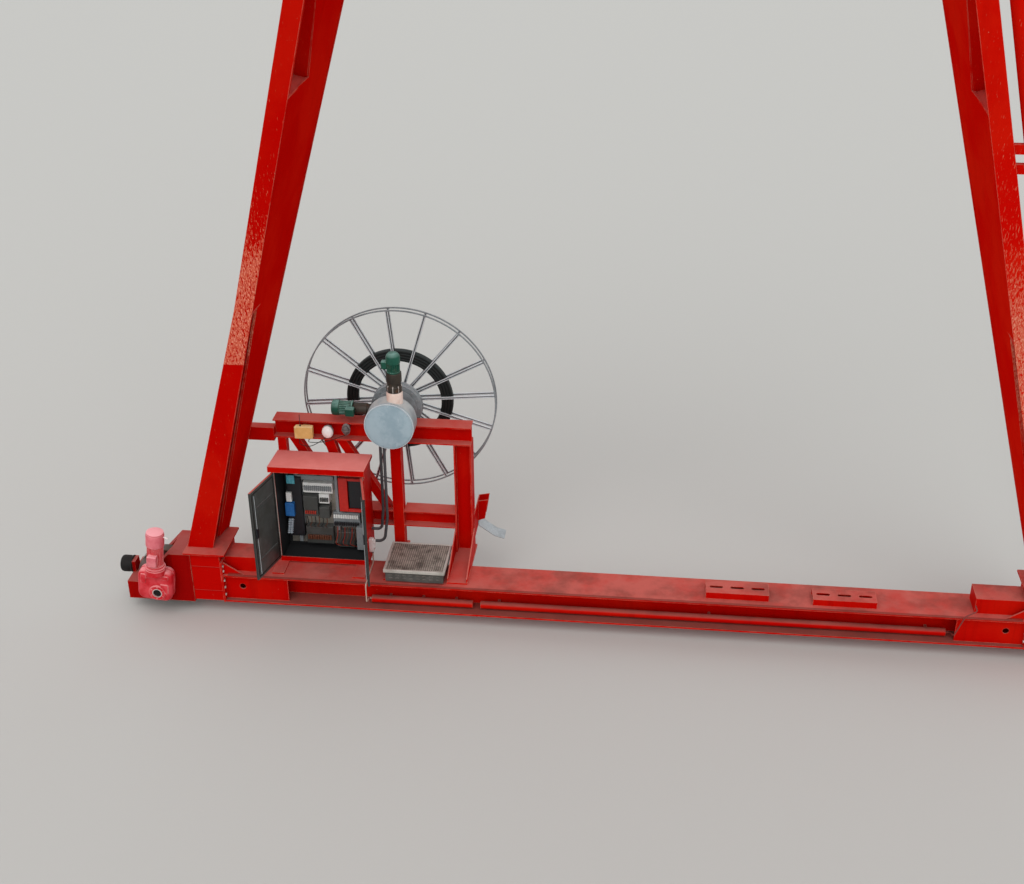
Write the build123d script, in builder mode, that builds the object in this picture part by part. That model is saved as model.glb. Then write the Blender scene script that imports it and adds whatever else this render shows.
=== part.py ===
# Double-girder gantry crane on rails, with a cable reel and a control cabinet on one sill beam.
# X runs along the rails, Y across the span, Z up from the top of the rails.
# The origin is the middle of the footprint, at the level of the rail tops.

import os
from math import cos, radians, sin, tan

from build123d import *

os.makedirs("parts", exist_ok=True)

# Overall layout
rail_span = 22000.0
leg_top_z = 11400.0
leg_foot_x = 4660.0
leg_lean = 0.276
reel_y = rail_span / 2

# Sill beam, a wide-flange section between the two leg pedestals
sill_width = 480.0
sill_height = 360.0
sill_bottom_z = 150.0
sill_flange = 22.0
sill_web = 14.0
sill_top_z = sill_bottom_z + sill_height
joint_plate = 20.0
gusset_y = 200.0
gusset_thickness = 16.0
web_hole_diameter = 70.0
web_hole_inset = 200.0
end_cover_length = 730.0
end_cover_y = 180.0
end_cover_thickness = 12.0

# Leg pedestal
pedestal_width = 340.0
pedestal_front = 250.0
pedestal_back = 330.0
pedestal_top_z = 785.0
pedestal_x = leg_foot_x - 20.0
cap_plate = 22.0
cap_margin = 70.0
foot_z = pedestal_top_z + cap_plate

# Legs, open sections of two flanges and one web that deepen towards the top
leg_flange_width = 190.0
leg_flange_thickness = 20.0
leg_web_thickness = 12.0
leg_web_inset = 36.0
leg_foot_depth = 460.0
leg_top_depth = 2600.0
leg_foot_flare = 108.0
leg_flare_z = 3900.0
leg_foot_centre_y = 90.0
leg_back_flange_width = 245.0
leg_side_thickness = 12.0
leg_side_inset = 16.0
leg_front_lip = 130.0
leg_slot_width = 90.0
leg_shelves = ((3850.0, 340.0), (6120.0, 750.0))
leg_shelf_thickness = 12.0
leg_pocket_top_z = 8600.0

# Wheel boxes, wheels and buffers
wheel_diameter = 690.0
wheel_tread = 130.0
wheel_x = 5180.0
wheel_axle_diameter = 90.0
wheel_box_length = 740.0
wheel_box_width = 520.0
wheel_box_wall = 16.0
wheel_box_bottom_z = 140.0
wheel_box_top_z = 770.0
wheel_box_nose_z = 370.0
wheel_box_level = 250.0
wheel_box_slope = 360.0
wheel_slot_clearance = 15.0
end_plate_thickness = 40.0
buffer_pad = 140.0
buffer_diameter = 200.0
buffer_length = 140.0
buffer_z = 440.0

# Travel gearmotors
gear_width = 400.0
gear_height = 400.0
gear_corner = 90.0
gear_depth = 150.0
gear_gap = 12.0
gear_shift = (35.0, 85.0)
gear_tilt = 6.5
output_ring_diameter = 190.0
output_bore_diameter = 96.0
motor_offset = 30.0
adaptor_diameter = 230.0
motor_diameter = 185.0
motor_cowl_diameter = 205.0
motor_levels = (250.0, 335.0, 375.0, 635.0, 785.0, 810.0)

# Girders, ties and trolley
girder_width = 520.0
girder_height = 1250.0
girder_web_width = 460.0
girder_flange = 22.0
girder_overhang = leg_top_depth / 2 + 50.0
tie_depth = 400.0
tie_height = 900.0
saddle_plate = 30.0
head_beam_width = 320.0
head_beam_height = 480.0
trolley_rail_width = 60.0
trolley_rail_height = 60.0
trolley_y = -6500.0
trolley_wheel_diameter = 400.0
trolley_axle_diameter = 70.0
trolley_length = 2600.0
trolley_beam_width = 260.0
trolley_beam_height = 320.0
trolley_wheel_inset = 350.0
trolley_beam_inset = 800.0
cross_beam_width = 180.0
drum_diameter = 520.0
drum_length = 1500.0
hook_z = 8700.0
rope_diameter = 20.0
walkway_width = 620.0
walkway_thickness = 40.0
handrail_height = 1050.0
handrail_tube = 42.0

# Pipe that runs up outside the right leg, held by two pairs of bars
tube_diameter = 150.0
tube_stand_off = 175.0
tube_bottom_z = 5200.0
tube_bar_z = ((5605.0, 5790.0), (9300.0, 9485.0))
tube_bar_height = 90.0

# Reel support frame
post_size = 200.0
brace_width = 118.0
brace_depth = 90.0
frame_front_y = 480.0
top_beam_height = 225.0
top_beam_bottom_z = 1940.0
frame_web = 12.0
frame_flange = 16.0
right_post_x = -1770.0
mid_post_x = -2530.0
mid_post_width = 124.0
left_post_x = -3830.0
left_post_width = 98.0
lower_beam_z = 950.0
lower_beam_height = 200.0
foot_plate = 20.0
foot_plate_front_y = -150.0
bracket_rise = 300.0
brace_lines = ((-3775.0, -3290.0), (-3370.0, -3370.0 + 236.0), (-3235.0, -2725.0))

# Cable reel
reel_x = -2540.0
reel_z = 2265.0
reel_plane_y = 950.0
reel_diameter = 2215.0
reel_gap = 84.0
spoke_count = 16
spoke_phase = 5.3
spoke_width = 30.0
spoke_thickness = 14.0
rim_bar = 24.0
hub_diameter = 300.0
cable_pack_outer = 620.0
cable_pack_inner = 450.0
drum_face_y = 240.0
slip_ring_diameter = 555.0
slip_ring_length = 225.0
drum_bevel = 8.0
top_motor_offset = 57.0
top_motor_steps = ((2480.0, 2645.0, 180.0), (2645.0, 2875.0, 172.0), (2875.0, 2985.0, 146.0),
                   (2985.0, 3075.0, 158.0), (3075.0, 3101.0, 122.0))
side_motor_steps = ((0.0, 390.0, 130.0), (390.0, 410.0, 170.0), (410.0, 545.0, 160.0), (545.0, 633.0, 176.0))
junction_box_centre = (-3553.0, 2050.0)
lamp_centres = ((-3287.0, 2054.0), (-3075.0, 2090.0))
lamp_sizes = ((130.0, 150.0), (95.0, 140.0))
neck_diameter = 150.0
gearbox_diameter = 580.0
gearbox_length = 110.0

# Cable guide and chute
guide_sheet = 10.0
guide_width = 150.0
guide_low_z = 735.0
guide_top_z = 1000.0
chute_top_z = 725.0
chute_width = 190.0
chute_sheet = 5.0
chute_line = ((0.0, 0.0), (0.0, -45.0), (195.0, -185.0), (305.0, -215.0))

# Control cabinet
cabinet_left_x = -3860.0
cabinet_right_x = -2830.0
cabinet_front_y = 100.0
cabinet_clearance = 3.0
cabinet_bottom_z = sill_top_z + foot_plate
cabinet_top_z = 1745.0
cabinet_wall = 20.0
mounting_plate = 15.0
component_blocks = ((80.0, 210.0, 900.0, 1050.0, 110.0), (80.0, 250.0, 520.0, 800.0, 160.0),
                    (270.0, 640.0, 940.0, 1060.0, 120.0), (300.0, 520.0, 560.0, 860.0, 140.0),
                    (560.0, 640.0, 560.0, 880.0, 110.0), (680.0, 900.0, 700.0, 1060.0, 170.0),
                    (690.0, 940.0, 560.0, 640.0, 100.0), (300.0, 900.0, 300.0, 420.0, 80.0))
roof_overhang = 60.0
roof_front_z = 70.0
roof_rise = -35.0
door_thickness = 22.0
door_gap = 5.0
door_meeting_gap = 8.0
door_edge = 10.0
hinge_leaf = 5.0
hinge_height = 60.0
hinge_clearance = 0.3
hinge_reach = 60.0
door_open_angle = 105.0
hinge_radius = 7.0
door_top_margin = 20.0
door_bottom_margin = 75.0
cabinet_sill_rail = 65.0
socket_size = (70.0, 60.0, 170.0)
socket_z = 670.0

# Small equipment on the sill beam
resistor_x = (-2580.0, -1920.0)
resistor_front_y = -190.0
resistor_back_y = 370.0
resistor_height = 160.0
resistor_lid = 26.0
block_lengths = (400.0, 550.0)
block_depth = 290.0
block_height = 190.0
bracket_places = ((1005.0, -140.0, 100.0), (2170.0, -160.0, 60.0))
bracket_length = 690.0
bracket_height = 80.0
bracket_slot = (150.0, 46.0)
conduit_diameter = 88.0
conduit_stand_off = 110.0
hose_diameter = 34.0
lead_diameter = 15.0
hose_bend = 120.0
lead_bend = 38.0
conduit_z = 230.0
conduit_runs = ((-2760.0, -1600.0), (-1510.0, 3630.0))


def block(x0, x1, y0, y1, z0, z1, mode=Mode.ADD):
    """A box between two corners."""
    with Locations(((x0 + x1) / 2, (y0 + y1) / 2, (z0 + z1) / 2)):
        Box(x1 - x0, y1 - y0, z1 - z0, mode=mode)


def rod(point, direction, diameter, length, mode=Mode.ADD):
    """A cylinder that starts at a point and runs along a direction."""
    with Locations(Plane(origin=point, z_dir=direction).location):
        Cylinder(diameter / 2, length, align=(Align.CENTER, Align.CENTER, Align.MIN), mode=mode)


def tilted_block(centre, across, upward, size, mode=Mode.ADD):
    """A box about a point, turned to two directions."""
    with Locations(Plane(origin=centre, x_dir=across, z_dir=upward).location):
        Box(*size, mode=mode)


def polygon(*points, mode=Mode.ADD):
    """A closed outline with straight sides."""
    Polygon(*points, align=None, mode=mode)


def keep(part, name):
    """Label a finished piece and write it out."""
    part.part.label = name
    export_step(part.part, f"parts/{name}.step")


def h_section(width, height, web, flange):
    """The outline of a wide-flange section, flanges at top and bottom of the sketch."""
    Rectangle(width, height)
    gap = (width - web) / 2
    for side in (-1, 1):
        with Locations((side * (web + gap) / 2, 0)):
            Rectangle(gap, height - 2 * flange, mode=Mode.SUBTRACT)


# Sill beams: one wide-flange beam a side, end plates bolted to the pedestals
pedestal_inner_x = pedestal_x - pedestal_width / 2
sill_end_x = pedestal_inner_x - joint_plate

with BuildPart() as reel_side_sill_beam:
    with BuildSketch(Plane.YZ.offset(-sill_end_x)):
        with Locations((reel_y, sill_bottom_z + sill_height / 2)):
            h_section(sill_width, sill_height, sill_web, sill_flange)
    extrude(amount=2 * sill_end_x)
    for side in (-1, 1):
        x_in = side * sill_end_x
        x_out = side * pedestal_inner_x
        block(min(x_in, x_out), max(x_in, x_out), reel_y - pedestal_front, reel_y + pedestal_front,
              sill_bottom_z, sill_top_z + 170.0)
        for y in (reel_y - gusset_y, reel_y + gusset_y):
            with BuildSketch(Plane.XZ.offset(-y)):
                polygon((x_in, sill_top_z), (x_in, sill_top_z + 150.0), (x_in - side * 230.0, sill_top_z))
            extrude(amount=gusset_thickness / 2, both=True)
            cover_y = reel_y + (end_cover_y if y > reel_y else -end_cover_y)
            cover_x0, cover_x1 = sorted((x_in - side * end_cover_length, x_in))
            block(cover_x0, cover_x1, cover_y - end_cover_thickness / 2, cover_y + end_cover_thickness / 2,
                  sill_bottom_z, sill_top_z)
        with Locations(Plane.XZ.offset(-reel_y)):
            with Locations((side * (sill_end_x - web_hole_inset), sill_bottom_z + 190.0, 0)):
                Hole(web_hole_diameter / 2)
keep(reel_side_sill_beam, "reel_side_sill_beam")

with BuildPart() as free_side_sill_beam:
    mirror(reel_side_sill_beam.part, about=Plane.XZ)
keep(free_side_sill_beam, "free_side_sill_beam")

# Pedestals: boxes under the legs with a wide cap plate
with BuildPart() as leg_pedestals:
    for side in (-1, 1):
        for end in (-1, 1):
            x_mid = side * pedestal_x
            y_in = end * (reel_y - pedestal_front)
            y_out = end * (reel_y + pedestal_back)
            half = pedestal_width / 2
            block(x_mid - half, x_mid + half, min(y_in, y_out), max(y_in, y_out),
                  sill_bottom_z + 20.0, pedestal_top_z)
            y_cap = end * (reel_y - pedestal_front - 30.0)
            block(x_mid - half - cap_margin, x_mid + half + cap_margin,
                  min(y_cap, y_out), max(y_cap, y_out), pedestal_top_z, foot_z)
keep(leg_pedestals, "leg_pedestals")


def leg_line(z):
    """Distance of the leg's middle line from the crane's middle plane at a height."""
    return leg_foot_x - leg_lean * (z - foot_z)


def leg_front(z):
    """Inner face of the leg across the span, at a height, measured from the rail."""
    share = (z - foot_z) / (leg_top_z - foot_z)
    foot_front = leg_foot_centre_y - leg_foot_depth / 2
    return foot_front + share * (-leg_top_depth / 2 - foot_front)


def leg_back(z):
    """Outer face of the leg across the span, at a height, measured from the rail."""
    share = (z - foot_z) / (leg_top_z - foot_z)
    foot_back = leg_foot_centre_y + leg_foot_depth / 2
    return foot_back + share * (leg_top_depth / 2 - foot_back)


def leg_band(inset, width):
    """A strip that follows the leg, seen along the span, inset from the leg's outer edge."""
    half = leg_flange_width / 2
    bottom = leg_line(foot_z) + half - inset
    top = leg_line(leg_top_z) + half - inset
    polygon((-bottom, foot_z), (-bottom + width, foot_z), (-top + width, leg_top_z), (-top, leg_top_z))


def side_strip(face, near, far, z0=foot_z, z1=leg_top_z, mode=Mode.ADD):
    """A strip along a sloping leg face, seen along the rails, between two distances from that face."""
    polygon((reel_y + face(z0) + near, z0), (reel_y + face(z0) + far, z0),
            (reel_y + face(z1) + far, z1), (reel_y + face(z1) + near, z1), mode=mode)


with BuildPart() as leg_web:
    with BuildSketch(Plane.YZ):
        polygon((reel_y + leg_front(foot_z) + 5.0, foot_z), (reel_y + leg_back(foot_z) - 5.0, foot_z),
                (reel_y + leg_back(leg_top_z) - 5.0, leg_top_z),
                (reel_y + leg_front(leg_top_z) + 5.0, leg_top_z))
    extrude(amount=-6000.0)
    with BuildSketch(Plane.XZ.offset(-reel_y)):
        leg_band(leg_web_inset, leg_web_thickness)
    extrude(amount=2000.0, both=True, mode=Mode.INTERSECT)

# Both flanges widen towards the foot on the outer side; the back one also reaches further inwards
flange_parts = []
for face, near, far, width in ((leg_front, 0.0, leg_flange_thickness, leg_flange_width),
                               (leg_back, -leg_flange_thickness, 0.0, leg_back_flange_width)):
    with BuildPart() as leg_flange:
        with BuildSketch(Plane.YZ):
            side_strip(face, near, far)
        extrude(amount=-6000.0)
        with BuildSketch(Plane.XZ.offset(-reel_y)):
            leg_band(0.0, width)
            foot_outer = -leg_line(foot_z) - leg_flange_width / 2
            flare_outer = -leg_line(leg_flare_z) - leg_flange_width / 2
            polygon((foot_outer - leg_foot_flare, foot_z), (foot_outer + 20.0, foot_z),
                    (flare_outer + 20.0, leg_flare_z), (flare_outer, leg_flare_z))
        extrude(amount=2000.0, both=True, mode=Mode.INTERSECT)
    flange_parts.append(leg_flange.part)

# The inner side is closed by a plate, with a slot behind the front edge and an open pocket above it
pocket_z, pocket_depth = leg_shelves[1]
slot_top_z = leg_shelves[0][0] - leg_shelf_thickness / 2
pocket_foot_y = reel_y + leg_front(pocket_z) + pocket_depth
pocket_head_y = reel_y + leg_front(leg_pocket_top_z)
with BuildPart() as leg_side_plate:
    with BuildSketch(Plane.YZ):
        polygon((reel_y + leg_front(foot_z) + 5.0, foot_z), (reel_y + leg_back(foot_z) - 5.0, foot_z),
                (reel_y + leg_back(leg_top_z) - 5.0, leg_top_z),
                (reel_y + leg_front(leg_top_z) + 5.0, leg_top_z))
        side_strip(leg_front, leg_front_lip, leg_front_lip + leg_slot_width, z1=slot_top_z,
                   mode=Mode.SUBTRACT)
        polygon((pocket_foot_y - pocket_depth, pocket_z), (pocket_foot_y - leg_shelf_thickness, pocket_z),
                (pocket_head_y + 5.0, leg_pocket_top_z), mode=Mode.SUBTRACT)
        side_strip(leg_front, 5.0, leg_front_lip)
    extrude(amount=-6000.0)
    with BuildSketch(Plane.XZ.offset(-reel_y)):
        leg_band(leg_flange_width - leg_side_inset - leg_side_thickness, leg_side_thickness)
    extrude(amount=2000.0, both=True, mode=Mode.INTERSECT)

# The pocket above the upper shelf ends in a plate that leans towards the front flange
web_inner = leg_web_inset + leg_web_thickness
with BuildPart() as leg_pocket_plate:
    with BuildSketch(Plane.YZ):
        polygon((pocket_foot_y, pocket_z), (pocket_foot_y, pocket_z + leg_shelf_thickness),
                (pocket_head_y + 15.0, leg_pocket_top_z), (pocket_head_y + 5.0, leg_pocket_top_z),
                (pocket_foot_y - leg_shelf_thickness, pocket_z))
    extrude(amount=-6000.0)
    with BuildSketch(Plane.XZ.offset(-reel_y)):
        leg_band(web_inner - 4.0, leg_flange_width - web_inner + 4.0)
    extrude(amount=2000.0, both=True, mode=Mode.INTERSECT)

with BuildPart() as reel_side_left_leg:
    add(flange_parts)
    add(leg_web.part)
    add(leg_side_plate.part)
    add(leg_pocket_plate.part)
    for z, depth in leg_shelves:
        inner_x = -leg_line(z) + leg_flange_width / 2
        shelf_run = leg_flange_width - web_inner + 8.0
        outer_z = z + leg_lean * shelf_run
        front = reel_y + leg_front(z) + 8.0
        with BuildSketch(Plane.XZ.offset(-front)):
            polygon((inner_x, z), (inner_x, z - leg_shelf_thickness),
                    (inner_x - shelf_run, outer_z - leg_shelf_thickness), (inner_x - shelf_run, outer_z))
        extrude(amount=-(depth - 8.0))
keep(reel_side_left_leg, "reel_side_left_leg")

with BuildPart() as reel_side_right_leg:
    mirror(reel_side_left_leg.part, about=Plane.YZ)
keep(reel_side_right_leg, "reel_side_right_leg")

with BuildPart() as free_side_legs:
    mirror(reel_side_left_leg.part, about=Plane.XZ)
    mirror(reel_side_right_leg.part, about=Plane.XZ)
keep(free_side_legs, "free_side_legs")

# Wheel boxes: hollow, slotted over the wheel, with a low nose and an end plate that carries the buffer
wheel_box_inner_x = pedestal_x + pedestal_width / 2
wheel_box_outer_x = wheel_box_inner_x + wheel_box_length
box_levels = (wheel_box_inner_x, wheel_box_inner_x + wheel_box_level,
              wheel_box_inner_x + wheel_box_level + wheel_box_slope, wheel_box_outer_x)
with BuildPart() as wheel_boxes:
    for side in (-1, 1):
        for end in (-1, 1):
            y_mid = end * reel_y
            wall = wheel_box_wall
            slot = wheel_tread / 2 + wheel_slot_clearance
            start, crest, toe, nose = (side * x for x in box_levels)
            with BuildSketch(Plane.XZ.offset(-y_mid)):
                polygon((start, wheel_box_bottom_z), (start, wheel_box_top_z), (crest, wheel_box_top_z),
                        (toe, wheel_box_nose_z), (nose, wheel_box_nose_z), (nose, wheel_box_bottom_z))
            extrude(amount=wheel_box_width / 2, both=True)
            with BuildSketch(Plane.XZ.offset(-y_mid)):
                polygon((start + side * wall, wheel_box_bottom_z),
                        (start + side * wall, wheel_box_top_z - wall),
                        (crest - side * wall / 2, wheel_box_top_z - wall),
                        (toe - side * wall / 2, wheel_box_nose_z - wall),
                        (nose - side * wall, wheel_box_nose_z - wall),
                        (nose - side * wall, wheel_box_bottom_z))
            extrude(amount=wheel_box_width / 2 - wall, both=True, mode=Mode.SUBTRACT)
            slot_x0, slot_x1 = sorted((crest, nose - side * wall))
            block(slot_x0, slot_x1, y_mid - slot, y_mid + slot, wheel_diameter / 2, wheel_box_top_z + 10.0,
                  mode=Mode.SUBTRACT)
            rod((side * wheel_x, y_mid - wheel_box_width / 2, wheel_diameter / 2), (0, 1, 0),
                wheel_axle_diameter, wheel_box_width)
            plate_x0, plate_x1 = sorted((nose, nose + side * end_plate_thickness))
            block(plate_x0, plate_x1, y_mid - wheel_box_width / 2, y_mid + wheel_box_width / 2,
                  wheel_box_bottom_z, wheel_box_nose_z)
            block(plate_x0, plate_x1, y_mid - buffer_pad / 2, y_mid + buffer_pad / 2,
                  wheel_box_bottom_z, buffer_z + buffer_pad / 2)
keep(wheel_boxes, "wheel_boxes")

with BuildPart() as travel_wheels:
    for side in (-1, 1):
        for end in (-1, 1):
            centre = (side * wheel_x, end * reel_y, wheel_diameter / 2)
            start = (centre[0], centre[1] - wheel_tread / 2, centre[2])
            rod(start, (0, 1, 0), wheel_diameter, wheel_tread)
            rod(start, (0, 1, 0), wheel_axle_diameter + 0.6, wheel_tread, mode=Mode.SUBTRACT)
keep(travel_wheels, "travel_wheels")

with BuildPart() as rubber_buffers:
    for side in (-1, 1):
        for end in (-1, 1):
            rod((side * (wheel_box_outer_x + end_plate_thickness), end * reel_y, buffer_z), (side, 0, 0),
                buffer_diameter, buffer_length)
keep(rubber_buffers, "rubber_buffers")

# Travel gearmotors: housings on the wheel axles, on the span side, leaning a little with their motors
gear_back_y = wheel_box_width / 2 + gear_gap
gear_front_y = gear_back_y + gear_depth
gear_mid_y = gear_back_y + adaptor_diameter / 2 + 3.0


def gear_point(side, end, out, up, depth):
    """A point on a travel gear, from the wheel axle: outwards, upwards, and across the span."""
    lean = radians(gear_tilt)
    return Vector(side * (wheel_x + out * cos(lean) - up * sin(lean)), end * (reel_y - depth),
                  wheel_diameter / 2 + out * sin(lean) + up * cos(lean))


def gear_up(side):
    """The direction of the motor axis, which leans towards the middle of the crane."""
    return Vector(-side * sin(radians(gear_tilt)), 0, cos(radians(gear_tilt)))


with BuildPart() as travel_gear_housings:
    for side in (-1, 1):
        for end in (-1, 1):
            with BuildSketch(Plane(origin=gear_point(side, end, *gear_shift, gear_back_y),
                                   x_dir=gear_up(side), z_dir=(0, -end, 0))):
                RectangleRounded(gear_height, gear_width, gear_corner)
            extrude(amount=gear_depth)
            neck_low, neck_high = motor_levels[:2]
            rod(gear_point(side, end, motor_offset, neck_low, gear_mid_y), gear_up(side), adaptor_diameter,
                neck_high - neck_low)
            rod(gear_point(side, end, 0, 0, gear_front_y), (0, -end, 0), output_ring_diameter, 14.0)
            rod(gear_point(side, end, 0, 0, gear_front_y + 14.0), (0, end, 0), output_bore_diameter, 70.0,
                mode=Mode.SUBTRACT)
            rod(gear_point(side, end, 0, 0, wheel_box_width / 2), (0, -end, 0), 160.0, gear_gap + 10.0)
keep(travel_gear_housings, "travel_gear_housings")

with BuildPart() as travel_motors:
    for side in (-1, 1):
        for end in (-1, 1):
            up = gear_up(side)
            flange_z, bell_z, body_z, cowl_z, cap_z = motor_levels[1:]
            motor_steps = ((flange_z, bell_z, adaptor_diameter - 30.0), (bell_z, body_z, motor_diameter),
                           (body_z, cowl_z, motor_cowl_diameter), (cowl_z, cap_z, motor_diameter - 20.0))
            for z0, z1, diameter in motor_steps:
                rod(gear_point(side, end, motor_offset, z0, gear_mid_y), up, diameter, z1 - z0)
            box_depth = motor_diameter / 2 + 55.0
            tilted_block(gear_point(side, end, motor_offset, bell_z + 105.0, gear_mid_y + box_depth / 2),
                         (0, 1, 0), up, (box_depth, 110.0, 130.0))
            rod(gear_point(side, end, motor_offset, body_z + 120.0, gear_mid_y), (-side, -end * 0.2, 0), 16.0,
                motor_cowl_diameter / 2 + 60.0)
keep(travel_motors, "travel_motors")

# Leg heads: a saddle plate on each leg pair and a tie beam between the legs
girder_x = leg_line(leg_top_z)
girder_bottom_z = leg_top_z + saddle_plate
girder_top_z = girder_bottom_z + girder_height
girder_half_length = reel_y + girder_overhang
with BuildPart() as leg_head_beams:
    for end in (-1, 1):
        z1 = leg_top_z - 60.0
        z0 = z1 - head_beam_height
        with BuildSketch(Plane.XZ.offset(-end * reel_y)):
            inner = leg_flange_width / 2 - leg_side_inset
            polygon((-leg_line(z0) + inner, z0), (leg_line(z0) - inner, z0),
                    (leg_line(z1) - inner, z1), (-leg_line(z1) + inner, z1))
        extrude(amount=head_beam_width / 2, both=True)
keep(leg_head_beams, "leg_head_beams")

with BuildPart() as saddle_plates:
    for side in (-1, 1):
        for end in (-1, 1):
            block(side * girder_x - girder_width / 2, side * girder_x + girder_width / 2,
                  end * reel_y - leg_top_depth / 2 - 30.0, end * reel_y + leg_top_depth / 2 + 30.0,
                  leg_top_z, girder_bottom_z)
keep(saddle_plates, "saddle_plates")

with BuildPart() as girders:
    for side in (-1, 1):
        x_mid = side * girder_x
        block(x_mid - girder_web_width / 2, x_mid + girder_web_width / 2,
              -girder_half_length, girder_half_length, girder_bottom_z, girder_top_z)
        for z in (girder_bottom_z, girder_top_z - girder_flange):
            block(x_mid - girder_width / 2, x_mid + girder_width / 2,
                  -girder_half_length, girder_half_length, z, z + girder_flange)
keep(girders, "girders")

with BuildPart() as girder_end_ties:
    for end in (-1, 1):
        y0, y1 = sorted((end * (girder_half_length - tie_depth), end * girder_half_length))
        tie_x = girder_x - girder_web_width / 2
        block(-tie_x, tie_x, y0, y1, girder_top_z - tie_height, girder_top_z - girder_flange)
keep(girder_end_ties, "girder_end_ties")

with BuildPart() as trolley_rails:
    for side in (-1, 1):
        block(side * girder_x - trolley_rail_width / 2, side * girder_x + trolley_rail_width / 2,
              -girder_half_length + 50.0, girder_half_length - 50.0, girder_top_z,
              girder_top_z + trolley_rail_height)
keep(trolley_rails, "trolley_rails")

# Trolley with its hoist
trolley_rail_top = girder_top_z + trolley_rail_height
trolley_axle_z = trolley_rail_top + trolley_wheel_diameter / 2
trolley_frame_z = trolley_axle_z - 60.0
with BuildPart() as trolley_wheels:
    for side in (-1, 1):
        for end in (-1, 1):
            y_wheel = trolley_y + end * (trolley_length / 2 - trolley_wheel_inset)
            hub_end = (side * girder_x - 45.0, y_wheel, trolley_axle_z)
            rod(hub_end, (1, 0, 0), trolley_wheel_diameter, 90.0)
            rod(hub_end, (1, 0, 0), trolley_axle_diameter + 1.0, 90.0, mode=Mode.SUBTRACT)
keep(trolley_wheels, "trolley_wheels")

with BuildPart() as trolley_end_carriages:
    for side in (-1, 1):
        block(side * girder_x - trolley_beam_width / 2, side * girder_x + trolley_beam_width / 2,
              trolley_y - trolley_length / 2, trolley_y + trolley_length / 2,
              trolley_frame_z, trolley_frame_z + trolley_beam_height)
        for end in (-1, 1):
            y_wheel = trolley_y + end * (trolley_length / 2 - trolley_wheel_inset)
            block(side * girder_x - 46.0, side * girder_x + 46.0, y_wheel - 205.0, y_wheel + 205.0,
                  trolley_frame_z - 10.0, trolley_axle_z + 206.0, mode=Mode.SUBTRACT)
            rod((side * girder_x - 60.0, y_wheel, trolley_axle_z), (1, 0, 0), trolley_axle_diameter, 120.0)
keep(trolley_end_carriages, "trolley_end_carriages")

with BuildPart() as trolley_cross_beams:
    cross_x = girder_x - trolley_beam_width / 2
    for end in (-1, 1):
        y_beam = trolley_y + end * (trolley_length / 2 - trolley_beam_inset)
        block(-cross_x, cross_x, y_beam - cross_beam_width / 2, y_beam + cross_beam_width / 2,
              trolley_frame_z + 60.0, trolley_frame_z + trolley_beam_height)
keep(trolley_cross_beams, "trolley_cross_beams")

hoist_z = trolley_frame_z + trolley_beam_height
with BuildPart() as hoist_winch:
    drum_z = hoist_z + 340.0
    half_frame = trolley_length / 2 - trolley_beam_inset + cross_beam_width / 2
    rod((-drum_length / 2, trolley_y, drum_z), (1, 0, 0), drum_diameter, drum_length)
    for side in (-1, 1):
        x_plate = side * (drum_length / 2 + 20.0)
        block(x_plate - 20.0, x_plate + 20.0, trolley_y - half_frame, trolley_y + half_frame,
              hoist_z, drum_z + 100.0)
    block(drum_length / 2 + 40.0, drum_length / 2 + 300.0, trolley_y - 300.0, trolley_y + half_frame,
          hoist_z, drum_z + 260.0)
    rod((drum_length / 2 + 40.0, trolley_y + 420.0, hoist_z + 300.0), (-1, 0, 0), 300.0, 700.0)
keep(hoist_winch, "hoist_winch")

with BuildPart() as hook_block:
    for x in (-90.0, 90.0):
        block(x - 12.0, x + 12.0, trolley_y - 300.0, trolley_y + 300.0, hook_z, hook_z + 660.0)
    rod((-120.0, trolley_y, hook_z + 360.0), (1, 0, 0), 90.0, 240.0)
    rod((-60.0, trolley_y, hook_z + 360.0), (1, 0, 0), drum_diameter, 120.0)
    block(-78.0, 78.0, trolley_y - 90.0, trolley_y + 90.0, hook_z - 80.0, hook_z + 90.0)
    with BuildSketch(Plane.YZ):
        with Locations((trolley_y, hook_z - 300.0)):
            Circle(200.0)
            Circle(95.0, mode=Mode.SUBTRACT)
            with Locations((170.0, 110.0)):
                Rectangle(260.0, 180.0, mode=Mode.SUBTRACT)
    extrude(amount=45.0, both=True)
    rod((0, trolley_y, hook_z - 130.0), (0, 0, 1), 110.0, 60.0)
keep(hook_block, "hook_block")

with BuildPart() as hoist_ropes:
    rope_bottom = hook_z + 360.0
    for y in (-drum_diameter / 2 - rope_diameter / 2, drum_diameter / 2 + rope_diameter / 2):
        for x in (-30.0, 30.0):
            rod((x, trolley_y + y, rope_bottom), (0, 0, 1), rope_diameter, drum_z - rope_bottom)
keep(hoist_ropes, "hoist_ropes")

# Walkway beside the right girder with its handrail
walkway_x = girder_x + girder_web_width / 2
walkway_z = girder_top_z - 500.0
with BuildPart() as girder_walkway:
    block(walkway_x, walkway_x + walkway_width, -girder_half_length, girder_half_length,
          walkway_z, walkway_z + walkway_thickness)
keep(girder_walkway, "girder_walkway")

with BuildPart() as walkway_handrail:
    rail_x = walkway_x + walkway_width - handrail_tube / 2 - 8.0
    rail_base = walkway_z + walkway_thickness
    post_count = 13
    pitch = (2 * girder_half_length - 200.0) / (post_count - 1)
    for index in range(post_count):
        y_post = -girder_half_length + 100.0 + index * pitch
        block(rail_x - 18.0, rail_x + 18.0, y_post - 18.0, y_post + 18.0,
              rail_base, rail_base + handrail_height)
    for z in (0.5 * handrail_height, handrail_height):
        block(rail_x - 16.0, rail_x + 16.0, -girder_half_length + 60.0, girder_half_length - 60.0,
              rail_base + z - 16.0, rail_base + z + 16.0)
keep(walkway_handrail, "walkway_handrail")

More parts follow.
